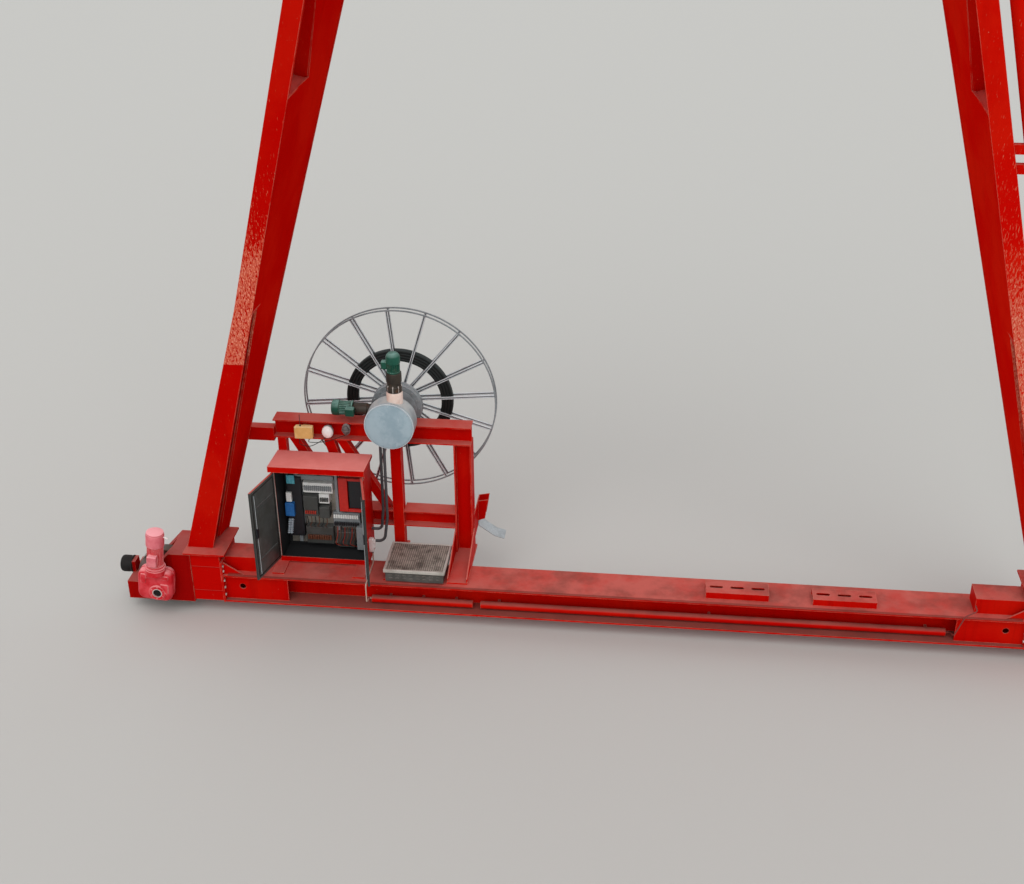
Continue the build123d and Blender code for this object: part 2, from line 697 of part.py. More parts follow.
# Pipe on the right leg of the reel side, welded to the leg by short bars
tube_top_z = leg_top_z - 150.0
tube_y = reel_y + leg_front(tube_bottom_z) + tube_diameter / 2


def tube_x(z):
    """Middle of the pipe, outside the right leg."""
    return leg_line(z) + leg_flange_width / 2 + tube_stand_off


with BuildPart() as leg_side_pipe:
    climb = Vector(tube_x(tube_top_z) - tube_x(tube_bottom_z),
                   leg_front(tube_top_z) - leg_front(tube_bottom_z), tube_top_z - tube_bottom_z)
    rod((tube_x(tube_bottom_z), tube_y, tube_bottom_z), climb, tube_diameter, climb.length)
    for pair in tube_bar_z:
        for z in pair:
            y_bar = reel_y + leg_front(z) + tube_diameter / 2
            z0 = z - tube_bar_height / 2
            z1 = z + tube_bar_height / 2
            web_x = leg_flange_width / 2 - leg_web_inset
            with BuildSketch(Plane.XZ.offset(-y_bar)):
                polygon((leg_line(z0) + web_x, z0), (tube_x(z0), z0),
                        (tube_x(z1), z1), (leg_line(z1) + web_x, z1))
            extrude(amount=30.0, both=True)
keep(leg_side_pipe, "leg_side_pipe")

# Reel support frame behind the sill beam
frame_y = reel_y + frame_front_y
frame_mid_y = frame_y + post_size / 2
top_beam_top_z = top_beam_bottom_z + top_beam_height
right_post_outer = right_post_x + post_size / 2
top_beam_left = left_post_x - left_post_width / 2 - 40.0
with BuildPart() as reel_frame_top_beam:
    with BuildSketch(Plane.YZ.offset(top_beam_left)):
        with Locations((frame_mid_y, top_beam_bottom_z + top_beam_height / 2)):
            h_section(post_size, top_beam_height, frame_web, frame_flange)
    extrude(amount=right_post_outer - top_beam_left)
keep(reel_frame_top_beam, "reel_frame_top_beam")

post_foot_z = sill_top_z + foot_plate
with BuildPart() as reel_frame_posts:
    with BuildSketch(Plane.XY.offset(post_foot_z)):
        with Locations(Location((right_post_x, frame_mid_y, 0), 90)):
            h_section(post_size, post_size, frame_web, frame_flange)
    extrude(amount=top_beam_bottom_z - post_foot_z)
    for x, width in ((mid_post_x, mid_post_width), (left_post_x, left_post_width)):
        block(x - width / 2, x + width / 2, frame_y, frame_y + width, post_foot_z, top_beam_bottom_z)
keep(reel_frame_posts, "reel_frame_posts")

lower_spans = ((left_post_x + left_post_width / 2, mid_post_x - mid_post_width / 2),
               (mid_post_x + mid_post_width / 2, right_post_x - post_size / 2))
with BuildPart() as reel_frame_lower_beams:
    for x0, x1 in lower_spans:
        with BuildSketch(Plane.YZ.offset(x0)):
            with Locations((frame_mid_y, lower_beam_z)):
                h_section(post_size, lower_beam_height, frame_web, frame_flange)
        extrude(amount=x1 - x0)
keep(reel_frame_lower_beams, "reel_frame_lower_beams")

with BuildPart() as reel_frame_feet:
    foot_widths = ((right_post_x, post_size), (mid_post_x, mid_post_width), (left_post_x, left_post_width))
    for x, width in foot_widths:
        block(x - width / 2 - 20.0, x + width / 2 + 20.0, reel_y + foot_plate_front_y, frame_y + post_size,
              sill_top_z, post_foot_z)
    for x in (right_post_x - post_size / 2 - 8.0, right_post_x + post_size / 2 + 8.0):
        with BuildSketch(Plane.YZ.offset(x)):
            bracket_front = reel_y + foot_plate_front_y + 10.0
            polygon((bracket_front, post_foot_z), (frame_y + 60.0, post_foot_z),
                    (frame_y + 60.0, post_foot_z + bracket_rise), (bracket_front, post_foot_z + 45.0))
        extrude(amount=frame_web / 2, both=True)
    resistor_rail = (resistor_x[1] - 90.0, resistor_x[1] - 10.0)
    cabinet_rail = (cabinet_right_x - 140.0, cabinet_right_x)
    for x0, x1 in (resistor_rail, cabinet_rail):
        block(x0, x1, reel_y + foot_plate_front_y, reel_y + sill_width / 2, sill_top_z, post_foot_z)
keep(reel_frame_feet, "reel_frame_feet")

with BuildPart() as reel_frame_braces:
    brace_y = frame_y + 60.0
    for x_top, x_bottom in brace_lines:
        with BuildSketch(Plane.XZ.offset(-brace_y)):
            z_low = lower_beam_z + lower_beam_height / 2
            polygon((x_top, top_beam_bottom_z), (x_bottom, z_low), (x_bottom + brace_width, z_low),
                    (x_top + brace_width, top_beam_bottom_z))
        extrude(amount=-brace_depth)
keep(reel_frame_braces, "reel_frame_braces")

tie_bottom = top_beam_bottom_z - 50.0
tie_top = tie_bottom + 165.0
tie_front = frame_y + 8.0
tie_back = frame_y + 120.0
with BuildPart() as reel_frame_leg_tie:
    cleat_x = -leg_line(tie_bottom)
    block(cleat_x - 80.0, top_beam_left, tie_front, tie_back, tie_bottom, tie_top)
    with BuildSketch(Plane.YZ.offset(cleat_x - 80.0)):
        polygon((reel_y + leg_back(tie_bottom), tie_bottom), (tie_front, tie_bottom), (tie_front, tie_top),
                (reel_y + leg_back(tie_top), tie_top))
    extrude(amount=150.0)
keep(reel_frame_leg_tie, "reel_frame_leg_tie")

# Cable reel: two spoked flanges with the cable wound between them
reel_centre = (reel_x, reel_y + reel_plane_y, reel_z)


reel_radius = reel_diameter / 2
spoke_length = reel_radius - rim_bar / 2 - hub_diameter / 4
front_flange_y = reel_centre[1] - reel_gap / 2
rear_flange_y = reel_centre[1] + reel_gap / 2
for y, name in ((front_flange_y, "reel_front_flange"), (rear_flange_y, "reel_rear_flange")):
    with BuildPart() as reel_flange:
        with BuildSketch(Plane(origin=(reel_x, y, reel_z), x_dir=(1, 0, 0), z_dir=(0, -1, 0))):
            Circle(reel_radius)
            Circle(reel_radius - rim_bar, mode=Mode.SUBTRACT)
            Circle(hub_diameter / 2)
            with PolarLocations(hub_diameter / 4 + spoke_length / 2, spoke_count, spoke_phase):
                Rectangle(spoke_length, spoke_width)
        extrude(amount=spoke_thickness / 2, both=True)
    keep(reel_flange, name)

pack_width = reel_gap - spoke_thickness
with BuildPart() as reel_cable_pack:
    with BuildSketch(Plane(origin=reel_centre, x_dir=(1, 0, 0), z_dir=(0, -1, 0))):
        Circle(cable_pack_outer)
        Circle(cable_pack_inner, mode=Mode.SUBTRACT)
    extrude(amount=pack_width / 2, both=True)
keep(reel_cable_pack, "reel_cable_pack")

gearbox_rear_y = frame_y + post_size + 20.0 + gearbox_length
hub_front_y = gearbox_rear_y + 0.3
with BuildPart() as reel_hub:
    rod((reel_x, reel_centre[1] - pack_width / 2, reel_z), (0, 1, 0), hub_diameter, pack_width)
    front_face = front_flange_y - spoke_thickness / 2
    rod((reel_x, hub_front_y, reel_z), (0, 1, 0), 140.0, front_face - hub_front_y)
keep(reel_hub, "reel_hub")

# Reel drive: slip-ring housing in front of the beam, neck over it, gearbox behind it
with BuildPart() as reel_slip_ring_housing:
    face_y = reel_y + drum_face_y
    rod((reel_x, face_y, reel_z), (0, 1, 0), slip_ring_diameter - 2 * drum_bevel, slip_ring_length)
    rod((reel_x, face_y + drum_bevel, reel_z), (0, 1, 0), slip_ring_diameter, slip_ring_length - drum_bevel)
keep(reel_slip_ring_housing, "reel_slip_ring_housing")

with BuildPart() as reel_gearbox:
    neck_start = reel_y + drum_face_y + slip_ring_length
    rod((reel_x, neck_start, reel_z), (0, 1, 0), neck_diameter, gearbox_rear_y - neck_start)
    rod((reel_x, gearbox_rear_y - gearbox_length, reel_z), (0, 1, 0), gearbox_diameter, gearbox_length)
    rod((reel_x, gearbox_rear_y - gearbox_length - 15.0, reel_z), (0, 1, 0), gearbox_diameter - 120.0, 20.0)
keep(reel_gearbox, "reel_gearbox")

with BuildPart() as reel_saddle:
    block(reel_x - 70.0, reel_x + 160.0, frame_y + 130.0, frame_y + post_size - 5.0,
          top_beam_top_z, reel_z)
    rod((reel_x, frame_y, reel_z), (0, 1, 0), neck_diameter, post_size, mode=Mode.SUBTRACT)
keep(reel_saddle, "reel_saddle")

with BuildPart() as reel_top_motor:
    x_top = reel_x + top_motor_offset
    top_y = reel_y + drum_face_y + slip_ring_length - 90.0
    for z0, z1, diameter in top_motor_steps:
        rod((x_top, top_y, z0), (0, 0, 1), diameter, z1 - z0)
    box_z = top_motor_steps[2][0]
    block(x_top - 130.0, x_top, top_y - 40.0, top_y + 30.0, box_z + 40.0, box_z + 130.0)
    rod((reel_x, reel_y + drum_face_y, reel_z), (0, 1, 0), slip_ring_diameter, slip_ring_length + 1.0,
        mode=Mode.SUBTRACT)
keep(reel_top_motor, "reel_top_motor")

with BuildPart() as reel_side_motor:
    side_y = frame_mid_y - 10.0
    side_z = reel_z + 45.0
    side_start = reel_x - neck_diameter / 2 + 4.0
    for run0, run1, diameter in side_motor_steps:
        rod((side_start - run0, side_y, side_z), (-1, 0, 0), diameter, run1 - run0)
    block(side_start - 460.0, side_start - 360.0, side_y - 135.0, side_y, side_z - 45.0, side_z + 50.0)
    rod((reel_x, frame_y, reel_z), (0, 1, 0), neck_diameter, post_size, mode=Mode.SUBTRACT)
keep(reel_side_motor, "reel_side_motor")

# Junction box and two lamps on the front of the top beam
beam_web_y = frame_mid_y - frame_web / 2
with BuildPart() as beam_junction_box:
    box_x, box_z = junction_box_centre
    block(box_x - 105.0, box_x + 105.0, frame_y - 75.0, frame_y, box_z - 75.0, box_z + 75.0)
    rod((box_x - 40.0, frame_y - 40.0, box_z + 70.0), (0, 0, 1), 10.0, 150.0)
    block(box_x - 40.0, box_x + 40.0, frame_y, beam_web_y, box_z - 30.0, box_z + 30.0)
keep(beam_junction_box, "beam_junction_box")

with BuildPart() as beam_lamps:
    for (x_lamp, z_lamp), (wide, high) in zip(lamp_centres, lamp_sizes):
        with BuildSketch(Plane.XZ.offset(-frame_y)):
            with Locations((x_lamp, z_lamp)):
                Ellipse(wide / 2, high / 2)
        extrude(amount=70.0)
        block(x_lamp - 25.0, x_lamp + 25.0, frame_y, beam_web_y, z_lamp - high / 4, z_lamp + high / 4)
keep(beam_lamps, "beam_lamps")

# Control cabinet: open shell, sloping roof, mounting plate and two doors
hinge_y = reel_y + cabinet_front_y - door_gap - door_thickness - hinge_radius
door_width = (cabinet_right_x - cabinet_left_x - door_meeting_gap) / 2
door_bottom_z = cabinet_bottom_z + door_bottom_margin
door_top_z = cabinet_top_z - door_top_margin
hinge_z = (door_bottom_z + 120.0, door_top_z - 180.0)
with BuildPart() as cabinet_body:
    y0 = reel_y + cabinet_front_y
    block(cabinet_left_x, cabinet_right_x, y0, frame_y - cabinet_clearance, cabinet_bottom_z, cabinet_top_z)
    block(cabinet_left_x + cabinet_wall, cabinet_right_x - cabinet_wall,
          y0, frame_y - cabinet_clearance - cabinet_wall,
          cabinet_bottom_z + cabinet_wall, cabinet_top_z - cabinet_wall, mode=Mode.SUBTRACT)
    block(cabinet_left_x + cabinet_wall, cabinet_right_x - cabinet_wall, y0, y0 + cabinet_wall,
          cabinet_bottom_z, cabinet_bottom_z + cabinet_sill_rail)
    for x, side in ((cabinet_left_x, -1), (cabinet_right_x, 1)):
        for z in hinge_z:
            x0, x1 = sorted((x, x + side * hinge_leaf))
            block(x0, x1, hinge_y, y0 + hinge_reach, z + hinge_height + hinge_clearance, z + 2 * hinge_height)
            rod((x, hinge_y, z + hinge_height + hinge_clearance), (0, 0, 1), 2 * hinge_radius,
                hinge_height - hinge_clearance)
keep(cabinet_body, "cabinet_body")

with BuildPart() as cabinet_roof:
    roof_back = frame_y - cabinet_clearance
    roof_front = reel_y + cabinet_front_y - roof_overhang - door_thickness
    with BuildSketch(Plane.YZ.offset(cabinet_left_x - 30.0)):
        polygon((roof_front, cabinet_top_z), (roof_back, cabinet_top_z),
                (roof_back, cabinet_top_z + roof_front_z + roof_rise),
                (roof_front, cabinet_top_z + roof_front_z))
    extrude(amount=cabinet_right_x - cabinet_left_x + 60.0)
keep(cabinet_roof, "cabinet_roof")

doors = ((cabinet_left_x, 1, "cabinet_left_door"), (cabinet_right_x, -1, "cabinet_right_door"))
for hinge_x, side, name in doors:
    turn = -90.0 - side * (door_open_angle - 90.0)
    along = (cos(radians(turn)), sin(radians(turn)), 0)
    with BuildPart() as door:
        with BuildSketch(Plane(origin=(hinge_x, hinge_y, door_bottom_z), x_dir=along, z_dir=(0, 0, 1))):
            with Locations(((door_width + door_edge) / 2, side * (hinge_radius + door_thickness / 2 - 3.0))):
                Rectangle(door_width - door_edge, door_thickness)
        extrude(amount=door_top_z - door_bottom_z)
        for z in hinge_z:
            rod((hinge_x, hinge_y, z), (0, 0, 1), 2 * hinge_radius, hinge_height)
            with BuildSketch(Plane(origin=(hinge_x, hinge_y, z), x_dir=along, z_dir=(0, 0, 1))):
                with Locations((door_edge + 15.0, side * hinge_leaf / 2)):
                    Rectangle(2 * door_edge + 30.0, hinge_leaf)
            extrude(amount=hinge_height)
    keep(door, name)

with BuildPart() as cabinet_mounting_plate:
    plate_back_y = frame_y - cabinet_clearance - cabinet_wall
    plate_front_y = plate_back_y - mounting_plate
    block(cabinet_left_x + 60.0, cabinet_right_x - 60.0, plate_front_y, plate_back_y,
          cabinet_bottom_z + 60.0, cabinet_top_z - 60.0)
keep(cabinet_mounting_plate, "cabinet_mounting_plate")

# Switchgear on the mounting plate, and a socket on the outside of the right wall
with BuildPart() as cabinet_components:
    for x0, x1, z0, z1, depth in component_blocks:
        block(cabinet_left_x + x0, cabinet_left_x + x1, plate_front_y - depth, plate_front_y,
              cabinet_bottom_z + z0, cabinet_bottom_z + z1)
    socket_wide, socket_deep, socket_high = socket_size
    socket_y = reel_y + cabinet_front_y + hinge_reach + 5.0
    block(cabinet_right_x, cabinet_right_x + socket_wide, socket_y, socket_y + socket_deep,
          socket_z, socket_z + socket_high)
keep(cabinet_components, "cabinet_components")

# Equipment on the sill beam
with BuildPart() as brake_resistor_box:
    lid_z = post_foot_z + resistor_height - resistor_lid
    block(resistor_x[0], resistor_x[1], reel_y + resistor_front_y, reel_y + resistor_back_y,
          post_foot_z, lid_z)
    block(resistor_x[0] - 18.0, resistor_x[1] + 18.0, reel_y + resistor_front_y - 18.0,
          reel_y + resistor_back_y + 18.0, lid_z, lid_z + resistor_lid)
keep(brake_resistor_box, "brake_resistor_box")

with BuildPart() as sill_stop_blocks:
    for side, length in zip((-1, 1), block_lengths):
        x0, x1 = sorted((side * (sill_end_x - 1.0 - length), side * (sill_end_x - 1.0)))
        block(x0, x1, reel_y - 130.0, reel_y + block_depth - 130.0, sill_top_z, sill_top_z + block_height)
keep(sill_stop_blocks, "sill_stop_blocks")

conduit_y = reel_y - sill_web / 2 - conduit_stand_off
with BuildPart() as conduit_pipes:
    for x0, x1 in conduit_runs:
        rod((x0, conduit_y, conduit_z), (1, 0, 0), conduit_diameter, x1 - x0)
        for x in (x0 + 200.0, (x0 + x1) / 2, x1 - 200.0):
            block(x - 15.0, x + 15.0, conduit_y, reel_y - sill_web / 2, conduit_z - 10.0, conduit_z + 10.0)
keep(conduit_pipes, "conduit_pipes")

with BuildPart() as slotted_brackets:
    for x0, y0, y1 in bracket_places:
        x1 = x0 + bracket_length
        block(x0, x1, reel_y + y0, reel_y + y1, sill_top_z, sill_top_z + bracket_height)
        block(x0, x1, reel_y + y0 + 10.0, reel_y + y1 - 10.0, sill_top_z, sill_top_z + bracket_height - 10.0,
              mode=Mode.SUBTRACT)
        with BuildSketch(Plane.XY.offset(sill_top_z + bracket_height - 20.0)):
            with Locations(((x0 + x1) / 2, reel_y + (y0 + y1) / 2)):
                with GridLocations(bracket_length / 3, 0, 3, 1):
                    SlotOverall(bracket_slot[0], bracket_slot[1])
        extrude(amount=30.0, mode=Mode.SUBTRACT)
keep(slotted_brackets, "slotted_brackets")

# Cable guide and chute beside the right post, where the reel cable runs down
guide_x = right_post_outer + guide_sheet
guide_front_y = reel_y + reel_plane_y - guide_width / 2
guide_back_y = guide_front_y + guide_width
with BuildPart() as cable_guide:
    block(right_post_outer, guide_x, frame_y + 90.0, guide_back_y, chute_top_z - 45.0, guide_top_z)
    for y in (guide_front_y, guide_back_y):
        with BuildSketch(Plane.XZ.offset(-y)):
            polygon((guide_x - 4.0, guide_low_z), (guide_x + 80.0, guide_low_z + 35.0),
                    (guide_x + 120.0, guide_top_z + 25.0), (guide_x - 4.0, guide_top_z))
        extrude(amount=guide_sheet / 2, both=True)
keep(cable_guide, "cable_guide")

with BuildPart() as cable_chute:
    lower = [(guide_x + run, chute_top_z + drop) for run, drop in chute_line]
    upper = [(x + chute_sheet, z + chute_sheet) for x, z in reversed(lower)]
    chute_front_y = reel_y + reel_plane_y - chute_width / 2
    with BuildSketch(Plane.XZ.offset(-chute_front_y)):
        polygon(*lower, *upper)
    extrude(amount=-chute_width)
keep(cable_chute, "cable_chute")


def drum_under(x):
    """Height of the slip-ring housing's underside, a hair clear, where a hose of this offset meets it."""
    return reel_z - ((slip_ring_diameter / 2) ** 2 - (abs(x) - hose_diameter / 2) ** 2) ** 0.5 - 0.3


# Held cables: two hoses from the slip-ring housing to the cabinet side, two leads out of the conduit
left_end = conduit_runs[0][0]
right_end = conduit_runs[1][1]
socket_lead_x = cabinet_right_x + socket_wide / 2
socket_lead_y = socket_y + socket_deep / 2
on_sill_z = sill_top_z + lead_diameter / 2 + 1.0
cable_routes = {
    "slip_ring_hoses": (hose_diameter, hose_bend, [
        [(reel_x - 85.0, reel_y + 330.0, drum_under(-85.0)), (reel_x - 92.0, reel_y + 332.0, 1050.0),
         (reel_x - 130.0, reel_y + 300.0, 745.0), (cabinet_right_x + 0.3, reel_y + 300.0, 745.0)],
        [(reel_x - 140.0, reel_y + 395.0, drum_under(-140.0)), (reel_x - 148.0, reel_y + 397.0, 1120.0),
         (reel_x - 172.0, reel_y + 370.0, 865.0), (cabinet_right_x + 0.3, reel_y + 370.0, 865.0)]]),
    "conduit_leads": (lead_diameter, lead_bend, [
        [(left_end - 0.3, conduit_y, conduit_z), (socket_lead_x, conduit_y, conduit_z),
         (socket_lead_x + 5.0, reel_y - 280.0, 290.0), (socket_lead_x + 5.0, reel_y - 280.0, on_sill_z),
         (socket_lead_x, socket_lead_y, on_sill_z), (socket_lead_x, socket_lead_y, socket_z - 0.3)],
        [(right_end + 0.3, conduit_y, conduit_z), (right_end + 50.0, conduit_y, conduit_z),
         (right_end + 62.0, reel_y - 272.0, 300.0), (right_end + 150.0, reel_y - 278.0, 560.0),
         (right_end + 275.0, reel_y - 235.0, 605.0), (right_end + 275.0, reel_y - 130.3, 605.0)]]),
}
for name, (diameter, bend, routes) in cable_routes.items():
    with BuildPart() as cables:
        for points in routes:
            runs = [(Vector(*b) - Vector(*a)).length for a, b in zip(points, points[1:])]
            radii = []
            for index in range(1, len(points) - 1):
                before = Vector(*points[index]) - Vector(*points[index - 1])
                after = Vector(*points[index + 1]) - Vector(*points[index])
                half_turn = radians(before.get_angle(after) / 2)
                radii.append(min(bend, 0.45 * min(runs[index - 1], runs[index]) / tan(half_turn)))
            print(name, [round(radius) for radius in radii])
            with BuildLine() as path:
                FilletPolyline(*points, radius=radii)
            with BuildSketch(Plane(path.line ^ 0)):
                Circle(diameter / 2)
            sweep(path=path.line)
    keep(cables, name)
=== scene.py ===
import math
from itertools import product
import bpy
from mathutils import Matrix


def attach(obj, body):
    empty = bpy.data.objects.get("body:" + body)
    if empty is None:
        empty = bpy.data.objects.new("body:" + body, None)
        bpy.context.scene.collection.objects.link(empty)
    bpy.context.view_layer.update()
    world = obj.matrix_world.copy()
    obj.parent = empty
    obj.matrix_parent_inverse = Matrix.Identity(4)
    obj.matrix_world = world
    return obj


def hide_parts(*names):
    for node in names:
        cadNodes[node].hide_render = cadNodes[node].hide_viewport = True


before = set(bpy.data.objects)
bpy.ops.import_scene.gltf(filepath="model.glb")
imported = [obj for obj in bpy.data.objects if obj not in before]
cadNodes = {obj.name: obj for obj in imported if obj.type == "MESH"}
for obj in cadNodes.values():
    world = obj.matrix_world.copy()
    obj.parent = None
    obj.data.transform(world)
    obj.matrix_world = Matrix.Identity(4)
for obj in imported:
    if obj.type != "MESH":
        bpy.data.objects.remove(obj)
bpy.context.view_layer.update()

from types import SimpleNamespace

import bmesh
import bpy
import numpy as np
from mathutils import Matrix, Vector

scene = bpy.context.scene

# Places that repeat the crane's own measures, in metres
railY = 11.0
sillEndX, bogieEndX = 4.45, 5.59
beamFace, beamWeb = 11.48, 11.573
reel = {"x": -2.54, "y": 11.95, "z": 2.265, "radius": 1.1075, "gap": 0.084, "spoke": 0.014}
leg = {"footX": 4.66, "lean": 0.276, "footZ": 0.807, "topZ": 11.4, "footDepth": 0.46, "topDepth": 2.6, "centre": 0.09}

# Sills run along x, girders along y, and the reel side is the outer one
alongSill, outward, spanward, skyward = (1, 0, 0), (0, 1, 0), (0, -1, 0), (0, 0, 1)

# The camera stands under the girders, inside the span, and looks down at the reel side
cameraLook = {
    "place": (0.36, -2.095, 9.4),
    "right": (0.9935, 0.1111, -0.0067),
    "up": (-0.0481, 0.4727, 0.8800),
    "lensMm": 49.2,
    "sensorMm": 36.0,
}


def makeCamera(look):
    # The back axis is right x up, and up is squared against both
    right = Vector(look["right"]).normalized()
    back = right.cross(Vector(look["up"])).normalized()
    up = back.cross(right)
    turn = Matrix((right, up, back)).transposed().to_4x4()
    camera = bpy.data.objects.new("yardCamera", bpy.data.cameras.new("yardCamera"))
    scene.collection.objects.link(camera)
    camera.matrix_world = Matrix.Translation(look["place"]) @ turn
    camera.data.sensor_width = look["sensorMm"]
    camera.data.lens = look["lensMm"]
    camera.data.clip_end = 400.0
    scene.camera = camera


makeCamera(cameraLook)
scene.view_settings.view_transform = "Standard"
print("camera placed")


def linearColour(hexText):
    channels = np.array([int(hexText[i:i + 2], 16) / 255 for i in (1, 3, 5)])
    linear = np.where(channels <= 0.04045, channels / 12.92, ((channels + 0.055) / 1.055) ** 2.4)
    return (*linear, 1.0)


def addNode(tree, kind, settings=None, links=None):
    # Lower-case keys are the node's own settings, the others are its sockets
    node = tree.nodes.new("ShaderNode" + kind)
    for key, value in (settings or {}).items():
        if isinstance(key, int) or key[0].isupper():
            node.inputs[key].default_value = value
        else:
            setattr(node, key, value)
    for key, socket in (links or {}).items():
        tree.links.new(socket, node.inputs[key])
    return node


def startFinish(name, body, roughness, metallic=0.0, specular=0.5):
    # A material while it is mixed: its colour so far, and what its masks are made from
    material = bpy.data.materials.new(name)
    material.use_nodes = True
    tree = material.node_tree
    inputs = tree.nodes["Principled BSDF"].inputs
    for key, value in (("Roughness", roughness), ("Metallic", metallic), ("Specular IOR Level", specular)):
        inputs[key].default_value = value
    return SimpleNamespace(material=material, tree=tree, inputs=inputs, colour=linearColour(body),
                           place=addNode(tree, "TexCoord").outputs["Object"],
                           normal=addNode(tree, "NewGeometry").outputs["Normal"])


def split(paint, vector):
    return addNode(paint.tree, "SeparateXYZ", links={0: vector}).outputs


def calc(paint, operation, first, second, clamp=False):
    # Either term may be a socket or a number
    settings, links = {"operation": operation, "use_clamp": clamp}, {}
    for key, term in enumerate((first, second)):
        (settings if isinstance(term, (int, float)) else links)[key] = term
    return addNode(paint.tree, "Math", settings, links).outputs[0]


def times(paint, mask, *others):
    for other in others:
        mask = calc(paint, "MULTIPLY", mask, other)
    return mask


def ranged(paint, value, low, high, least=0.0, most=1.0, smooth=False):
    # What lies between low and high is carried to a range from least to most
    settings = {"interpolation_type": "SMOOTHSTEP"} if smooth else {}
    settings.update({"From Min": low, "From Max": high, "To Min": least, "To Max": most})
    return addNode(paint.tree, "MapRange", settings, {"Value": value}).outputs[0]


def noise(paint, perMetre, detail, roughness, stretch, turn=0.0):
    moved = addNode(paint.tree, "Mapping", {"Scale": stretch, "Rotation": (0, turn, 0)}, {"Vector": paint.place})
    settings = {"Scale": perMetre, "Detail": detail, "Roughness": roughness}
    return addNode(paint.tree, "TexNoise", settings, {"Vector": moved.outputs[0]}).outputs[0]


def patches(paint, perMetre, low, high, detail=5.0, stretch=(1, 1, 1)):
    # Noise of so many features a metre, cut between two levels into a 0 to 1 mask
    return ranged(paint, noise(paint, perMetre, detail, 0.62, stretch), low, high, smooth=True)


def upwardMask(paint, low, high, smooth=True):
    return ranged(paint, split(paint, paint.normal)["Z"], low, high, smooth=smooth)


def leaning(paint, first, second):
    # Cosine of the angle between two directions
    settings, links = {"operation": "DOT_PRODUCT"}, {0: first}
    (settings if isinstance(second, tuple) else links)[1] = second
    return addNode(paint.tree, "VectorMath", settings, links).outputs["Value"]


def edgeMask(paint, radius, low, high):
    # Near an edge the normal rounded over the radius leans away from the true one
    rounded = addNode(paint.tree, "Bevel", {"samples": 4, "Radius": radius}).outputs[0]
    return ranged(paint, leaning(paint, rounded, paint.normal), low, high)


def facingMask(paint, ways):
    # 1 on faces that look along one of the given directions of the object
    normal, mask = addNode(paint.tree, "TexCoord").outputs["Normal"], 0.0
    for way in ways:
        mask = calc(paint, "MAXIMUM", mask, calc(paint, "GREATER_THAN", leaning(paint, normal, way), 0.97))
    return mask


def insideMask(paint, low, high):
    # 1 inside the box between two corners, 0 outside it
    spot = split(paint, paint.place)
    return times(paint, *(calc(paint, way, spot[axis], corner[axis]) for way, corner in
                          (("GREATER_THAN", low), ("LESS_THAN", high)) for axis in range(3)))


def lay(paint, hexText, mask, *amounts):
    # A colour laid over what is under it, as far as the mask says
    settings, links = {"data_type": "RGBA", 7: linearColour(hexText)}, {0: times(paint, mask, *amounts)}
    (settings if isinstance(paint.colour, tuple) else links)[6] = paint.colour
    paint.colour = addNode(paint.tree, "Mix", settings, links).outputs[2]


def finished(paint, rough, least, most, grain, waves=None):
    # The mask carries the roughness from least to most, grain and waves are (features a metre, depth in metres)
    bumps = {}
    for perMetre, depth in filter(None, (waves, grain)):
        settings = {"Scale": perMetre, "Detail": 4.0}
        bumps["Height"] = addNode(paint.tree, "TexNoise", settings, {"Vector": paint.place}).outputs[0]
        bumps["Normal"] = addNode(paint.tree, "Bump", {"Strength": 1.0, "Distance": depth}, bumps).outputs[0]
    for key, socket in (("Base Color", paint.colour), ("Roughness", ranged(paint, rough, 0.0, 1.0, least, most)),
                        ("Normal", bumps["Normal"])):
        paint.tree.links.new(socket, paint.inputs[key])
    return paint.material


# Alkyd machine enamel brushed and rolled on mill steel: a deep gloss red that chalks to pink where rain and dust lie,
# the pink of upward faces also painted sheen of the sky, with darker runs down the sides, pale worn edges and small
# chips to the primer
enamelLook = {
    "body": "#BC0602",
    "faded": "#C41206",
    "deep": "#8E0503",
    # Pink on upward faces: dust in patches over painted sheen of the sky, which never falls below the least amount
    "dust": "#BE6A60",
    "soil": "#7A4438",
    "chip": "#D9A58C",
    "dustAmount": 0.8,
    "dustLeast": 0.55,
    "soilAmount": 0.35,
    "soilFrom": 0.52,
    "lowSoil": 0.0,          # dirt that splashes lie on ledges below 0.3 m
    "runAmount": 0.35,
    "chipAmount": 0.5,
    "edgeAmount": 0.45,
    "patchPerMetre": 0.9,     # fading in patches about a metre wide
    "specklePerMetre": 38.0,  # chips of 5 to 25 mm
    "edgeMm": 9.0,
    "specular": 0.012,
    "grain": (240.0, 0.0004),  # orange peel, drawn coarser than the real 2 mm
    "waves": (2.2, 0.004),     # plate that the welding heat has pulled into shallow waves
    "scuff": None,             # zone of the front flange that is rubbed through to primer
    "lining": None,            # box inside the object that has another colour
    "facing": None,            # directions of faces that have another colour
}
# Rubbed layers are features a metre, upright stretch, turn, level, how far it falls mid-zone, and a colour
scuffLayers = ((70.0, 0.3, 0.12, 0.0, -0.5, "#D86A50"), (95.0, 0.04, 0.3, 0.13, -0.1, "#D86A50"),
               (95.0, 0.04, -0.25, 0.14, -0.1, "#D86A50"), (110.0, 0.3, 0.2, 0.08, -0.5, "#E89A80"))


